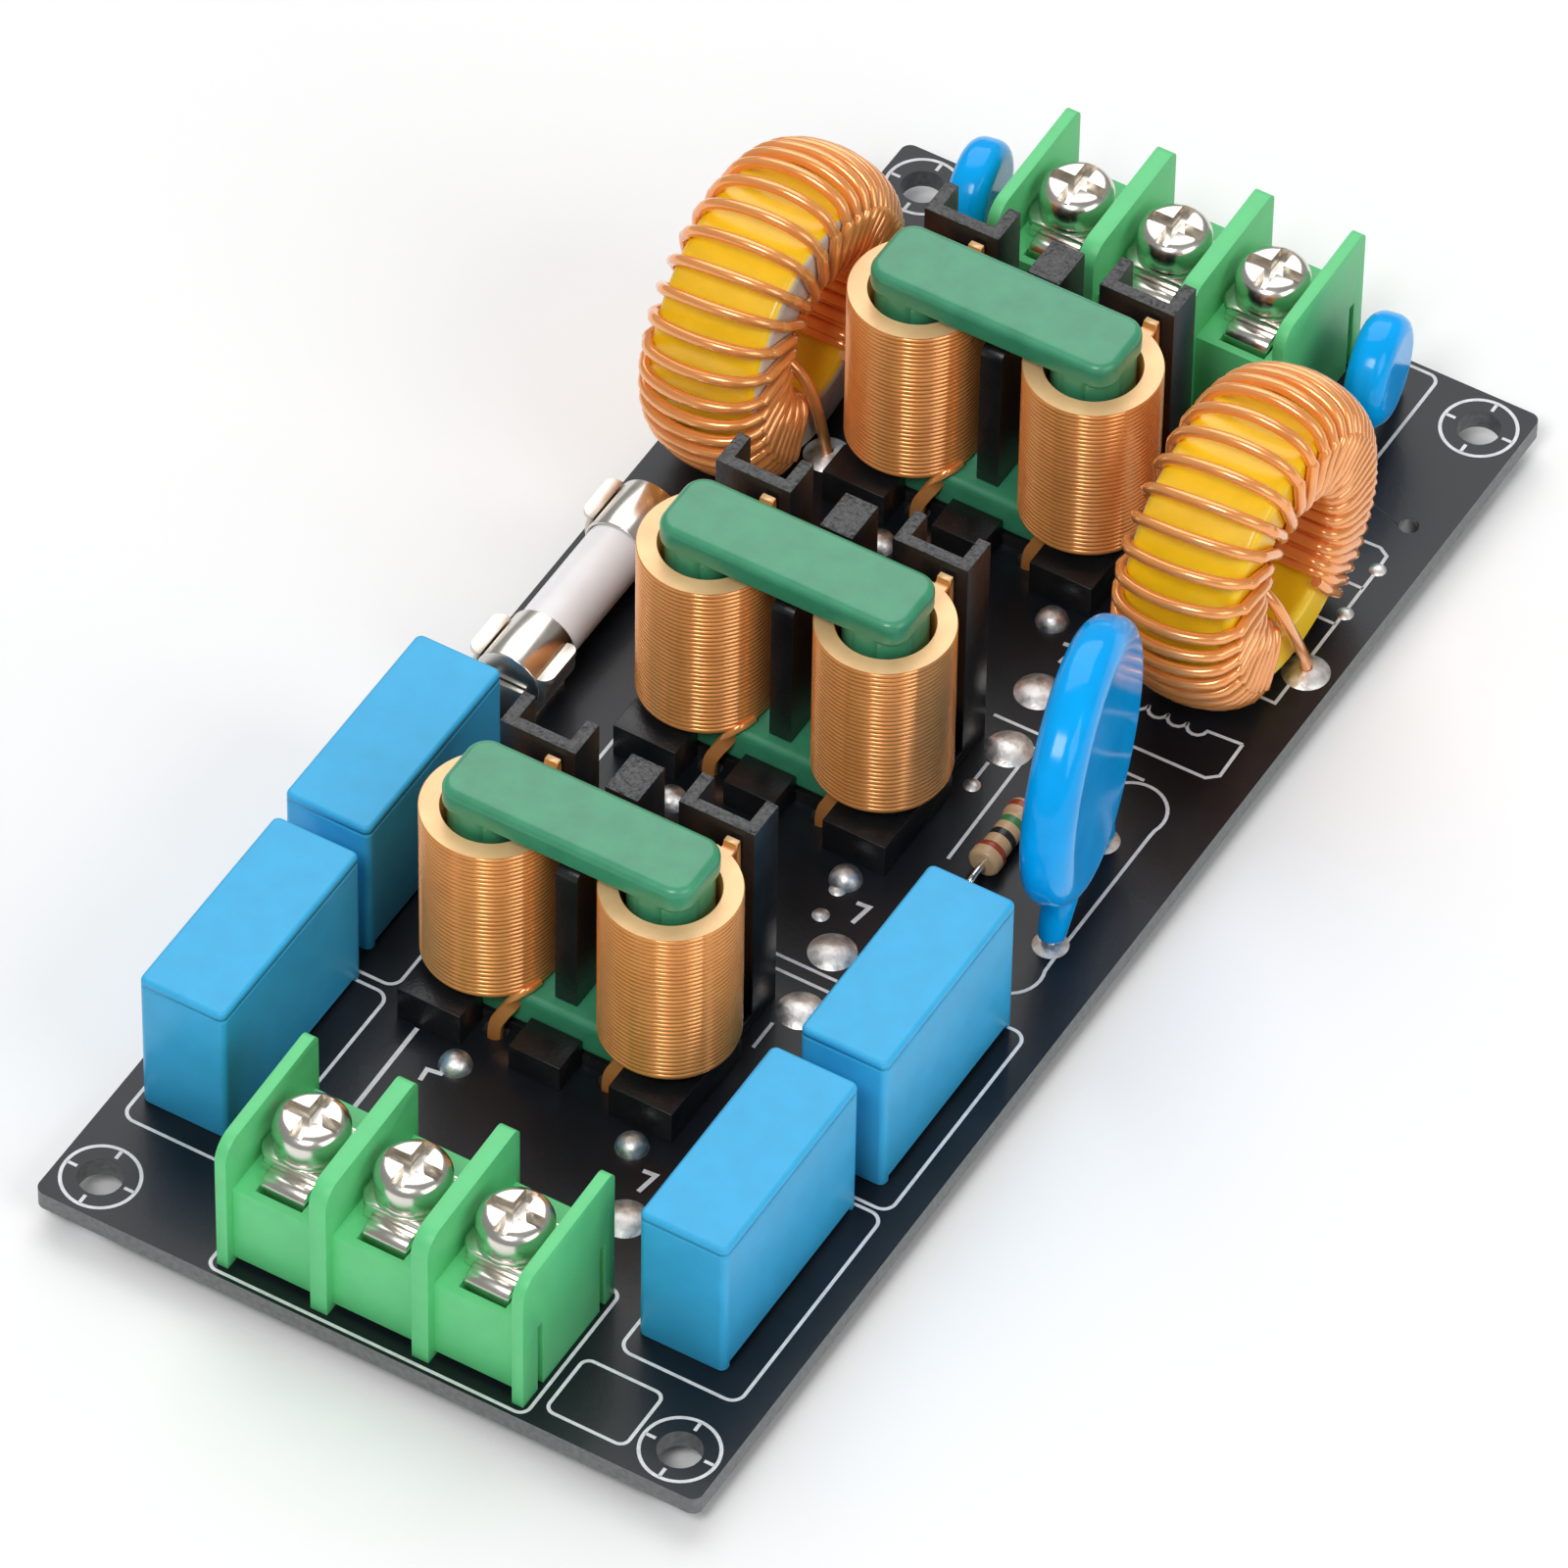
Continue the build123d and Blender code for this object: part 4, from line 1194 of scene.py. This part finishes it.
def film_finish(top: float) -> Finish:
    """Surface of a box capacitor.

    Args:
        top: height of its top, in metres.

    Returns:
        The finish.
    """
    return LiddedFinish("blue_moulding", (0.045, 0.435, 0.78), Gloss.SATIN.value, mottling=0.05,
                        sheen_level=0.3, bump=0.012 * MM, line_height=top - LID_DROP)


def resistor_finish(low: float, high: float) -> Finish:
    """Surface of the resistor, with its colour bands.

    Args:
        low, high: its ends along Y, in metres.

    Returns:
        The finish.
    """
    base, red, black, green = (0.62, 0.40, 0.22), (0.35, 0.05, 0.02), (0.02, 0.02, 0.02), (0.05, 0.22, 0.08)
    stops = ((0.14, red), (0.24, base), (0.38, black), (0.48, base),
             (0.60, green), (0.70, base), (0.84, red), (0.93, base))
    bands = tuple((low + share * (high - low), colour) for share, colour in stops)
    return BandedFinish("banded_lacquer", base, Gloss.SATIN.value, bands=bands, span=(low, high))


@dataclass(frozen=True)
class Lamp:
    """A square soft lamp that faces the object.

    Args:
        name: name of the lamp.
        place: where it hangs, in metres.
        size: its side, in metres.
        power: its power, in watts.
    """

    name: str
    place: Point
    size: float
    power: float

    def build(self) -> None:
        """Hang the lamp."""
        data = bpy.data.lights.new(self.name, "AREA")
        data.size, data.energy = self.size, self.power
        lamp = bpy.data.objects.new(self.name, data)
        lamp.location = self.place
        lamp.rotation_euler = (-Vector(self.place)).to_track_quat("-Z", "Y").to_euler()
        bpy.context.scene.collection.objects.link(lamp)


@dataclass
class Studio:
    """Camera, lights, world and floor.

    Args:
        focal_px: focal length in pixels of the square image.
        azimuth: turn of the camera about Z, in degrees.
        elevation: height angle of the camera, in degrees.
        roll: roll about the view axis, in degrees.
        distance: camera to target, in millimetres.
        target: point the camera looks at, in millimetres.
        sensor: width of the sensor, in millimetres.
        clip: nearest and farthest distance that the camera sees, in metres.
        lamps: the lamps.
        sky: strength of the even white light from all round.
        floor_size: side of the floor, in metres.
    """

    focal_px: float = 14894.0
    azimuth: float = 30.03
    elevation: float = 47.99
    roll: float = 1.06
    distance: float = 1046.0
    target: Point = (-2.55, 1.22, 0.0)
    sensor: float = 36.0
    clip: Flat = (0.01, 20.0)
    lamps: tuple[Lamp, ...] = (
        Lamp("key", (0.1, -0.95, 1.35), 0.5, 10.5),
        Lamp("fill", (1.25, -0.25, 0.9), 0.9, 6.5),
        Lamp("back", (-0.5, 0.85, 1.25), 1.4, 13.0),
    )
    sky: float = 0.3
    floor_size: float = 4.0

    def camera(self) -> None:
        """Place the camera that matches the photograph."""
        turn, rise, roll = (math.radians(a) for a in (self.azimuth, self.elevation, self.roll))
        back = Vector((math.sin(turn) * math.cos(rise), -math.cos(turn) * math.cos(rise), math.sin(rise)))
        level = Vector((math.cos(turn), math.sin(turn), 0))
        above = back.cross(level)
        right = math.cos(roll) * level + math.sin(roll) * above
        up = -math.sin(roll) * level + math.cos(roll) * above
        data = bpy.data.cameras.new("camera")
        data.sensor_width = self.sensor
        data.sensor_fit = "HORIZONTAL"
        data.lens = self.focal_px / IMAGE_SIZE * self.sensor
        data.clip_start, data.clip_end = self.clip
        camera = bpy.data.objects.new("camera", data)
        camera.matrix_world = Matrix((right, up, back)).transposed().to_4x4()
        camera.location = Vector(self.target) * MM + back * self.distance * MM
        bpy.context.scene.collection.objects.link(camera)
        bpy.context.scene.camera = camera

    def build(self, floor_height: float) -> None:
        """Build the whole studio.

        Args:
            floor_height: height of the floor, in metres.
        """
        self.camera()
        for lamp in self.lamps:
            lamp.build()
        world = bpy.data.worlds.new("world")
        world.use_nodes = True
        background = world.node_tree.nodes["Background"]
        background.inputs["Color"].default_value = (1, 1, 1, 1)
        background.inputs["Strength"].default_value = self.sky
        bpy.context.scene.world = world
        bpy.context.scene.view_settings.view_transform = "Standard"
        half = self.floor_size / 2
        mesh = bpy.data.meshes.new("floor")
        corners = [(x * half, y * half, floor_height) for x, y in ((-1, -1), (1, -1), (1, 1), (-1, 1))]
        mesh.from_pydata(corners, [], [(0, 1, 2, 3)])
        mesh.materials.append(FLOOR.material())
        floor = bpy.data.objects.new("floor", mesh)
        bpy.context.scene.collection.objects.link(floor)
        floor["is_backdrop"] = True
        log.info("studio built")


def dress(levels: Levels) -> None:
    """Build every piece of the object.

    Args:
        levels: heights that several pieces share.
    """
    Board().build()
    BoardPrint(levels).build()
    for node in gather("terminal_housing"):
        SoftEdged(node, GREEN, "terminal_plastic", width=0.16).build()
    for key, width in (("contact_", 0.12), ("clamp_washers_", 0.14), ("terminal_screw_", 0.06)):
        for node in gather(key):
            slot = "nickel_contact" if "contact" in node else "nickel_screw"
            SoftEdged(node, NICKEL, slot, width=width).build()
    for node in gather("film_case"):
        SoftEdged(node, film_finish(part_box(node)[1].z), "film_case_plastic", width=0.1).build()
    for node in gather("choke_base"):
        ChokeBase(node).build()
    for node in gather("choke_core"):
        SoftEdged(node, CORE, "choke_core_coating", width=0.2).build()
    for choke in ("front", "middle", "rear"):
        for side in (-1, 1):
            ChokeCoil(choke, side, levels).build()
    for name, shown_y, white_side in (("left", 29.4, 1), ("right", 28.9, -1)):
        ToroidRing(name, white_side).build()
        ToroidWinding(name, shown_y, levels).build()
    Dipped("varistor_body", AZURE, "varistor_coating", passes=6, squeeze=0.8, yaw=6).build()
    for node in gather("disc_body"):
        Dipped(node, AZURE, "disc_coating", grain=0.15, passes=8).build()
    SoftEdged("fuse_tube", CERAMIC, "fuse_ceramic", width=0.1).build()
    SoftEdged("fuse_end_caps", NICKEL, "nickel_cap", width=0.35, segments=3).build()
    for node in gather("_clip"):
        SoftEdged(node, CLIP, "nickel_cap", width=0.08).build()
    low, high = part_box("resistor_body")
    SoftEdged("resistor_body", resistor_finish(low.y, high.y), "resistor_coating", width=0.05).build()
    for key, finish in (("solder_", SOLDER), ("_leads", TIN)):
        for node in gather(key):
            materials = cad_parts[node].data.materials
            materials.clear()
            materials.append(finish.material())
            log.info("%s dressed", node)


def main() -> None:
    """Dress every node, then light and frame the object."""
    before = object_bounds()
    dress(Levels(top=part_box("circuit_board")[1].z / MM, tail=before[0][2] / MM + TAIL_CLEARANCE))
    Studio().build(before[0][2])


if __name__ == "__main__":
    main()
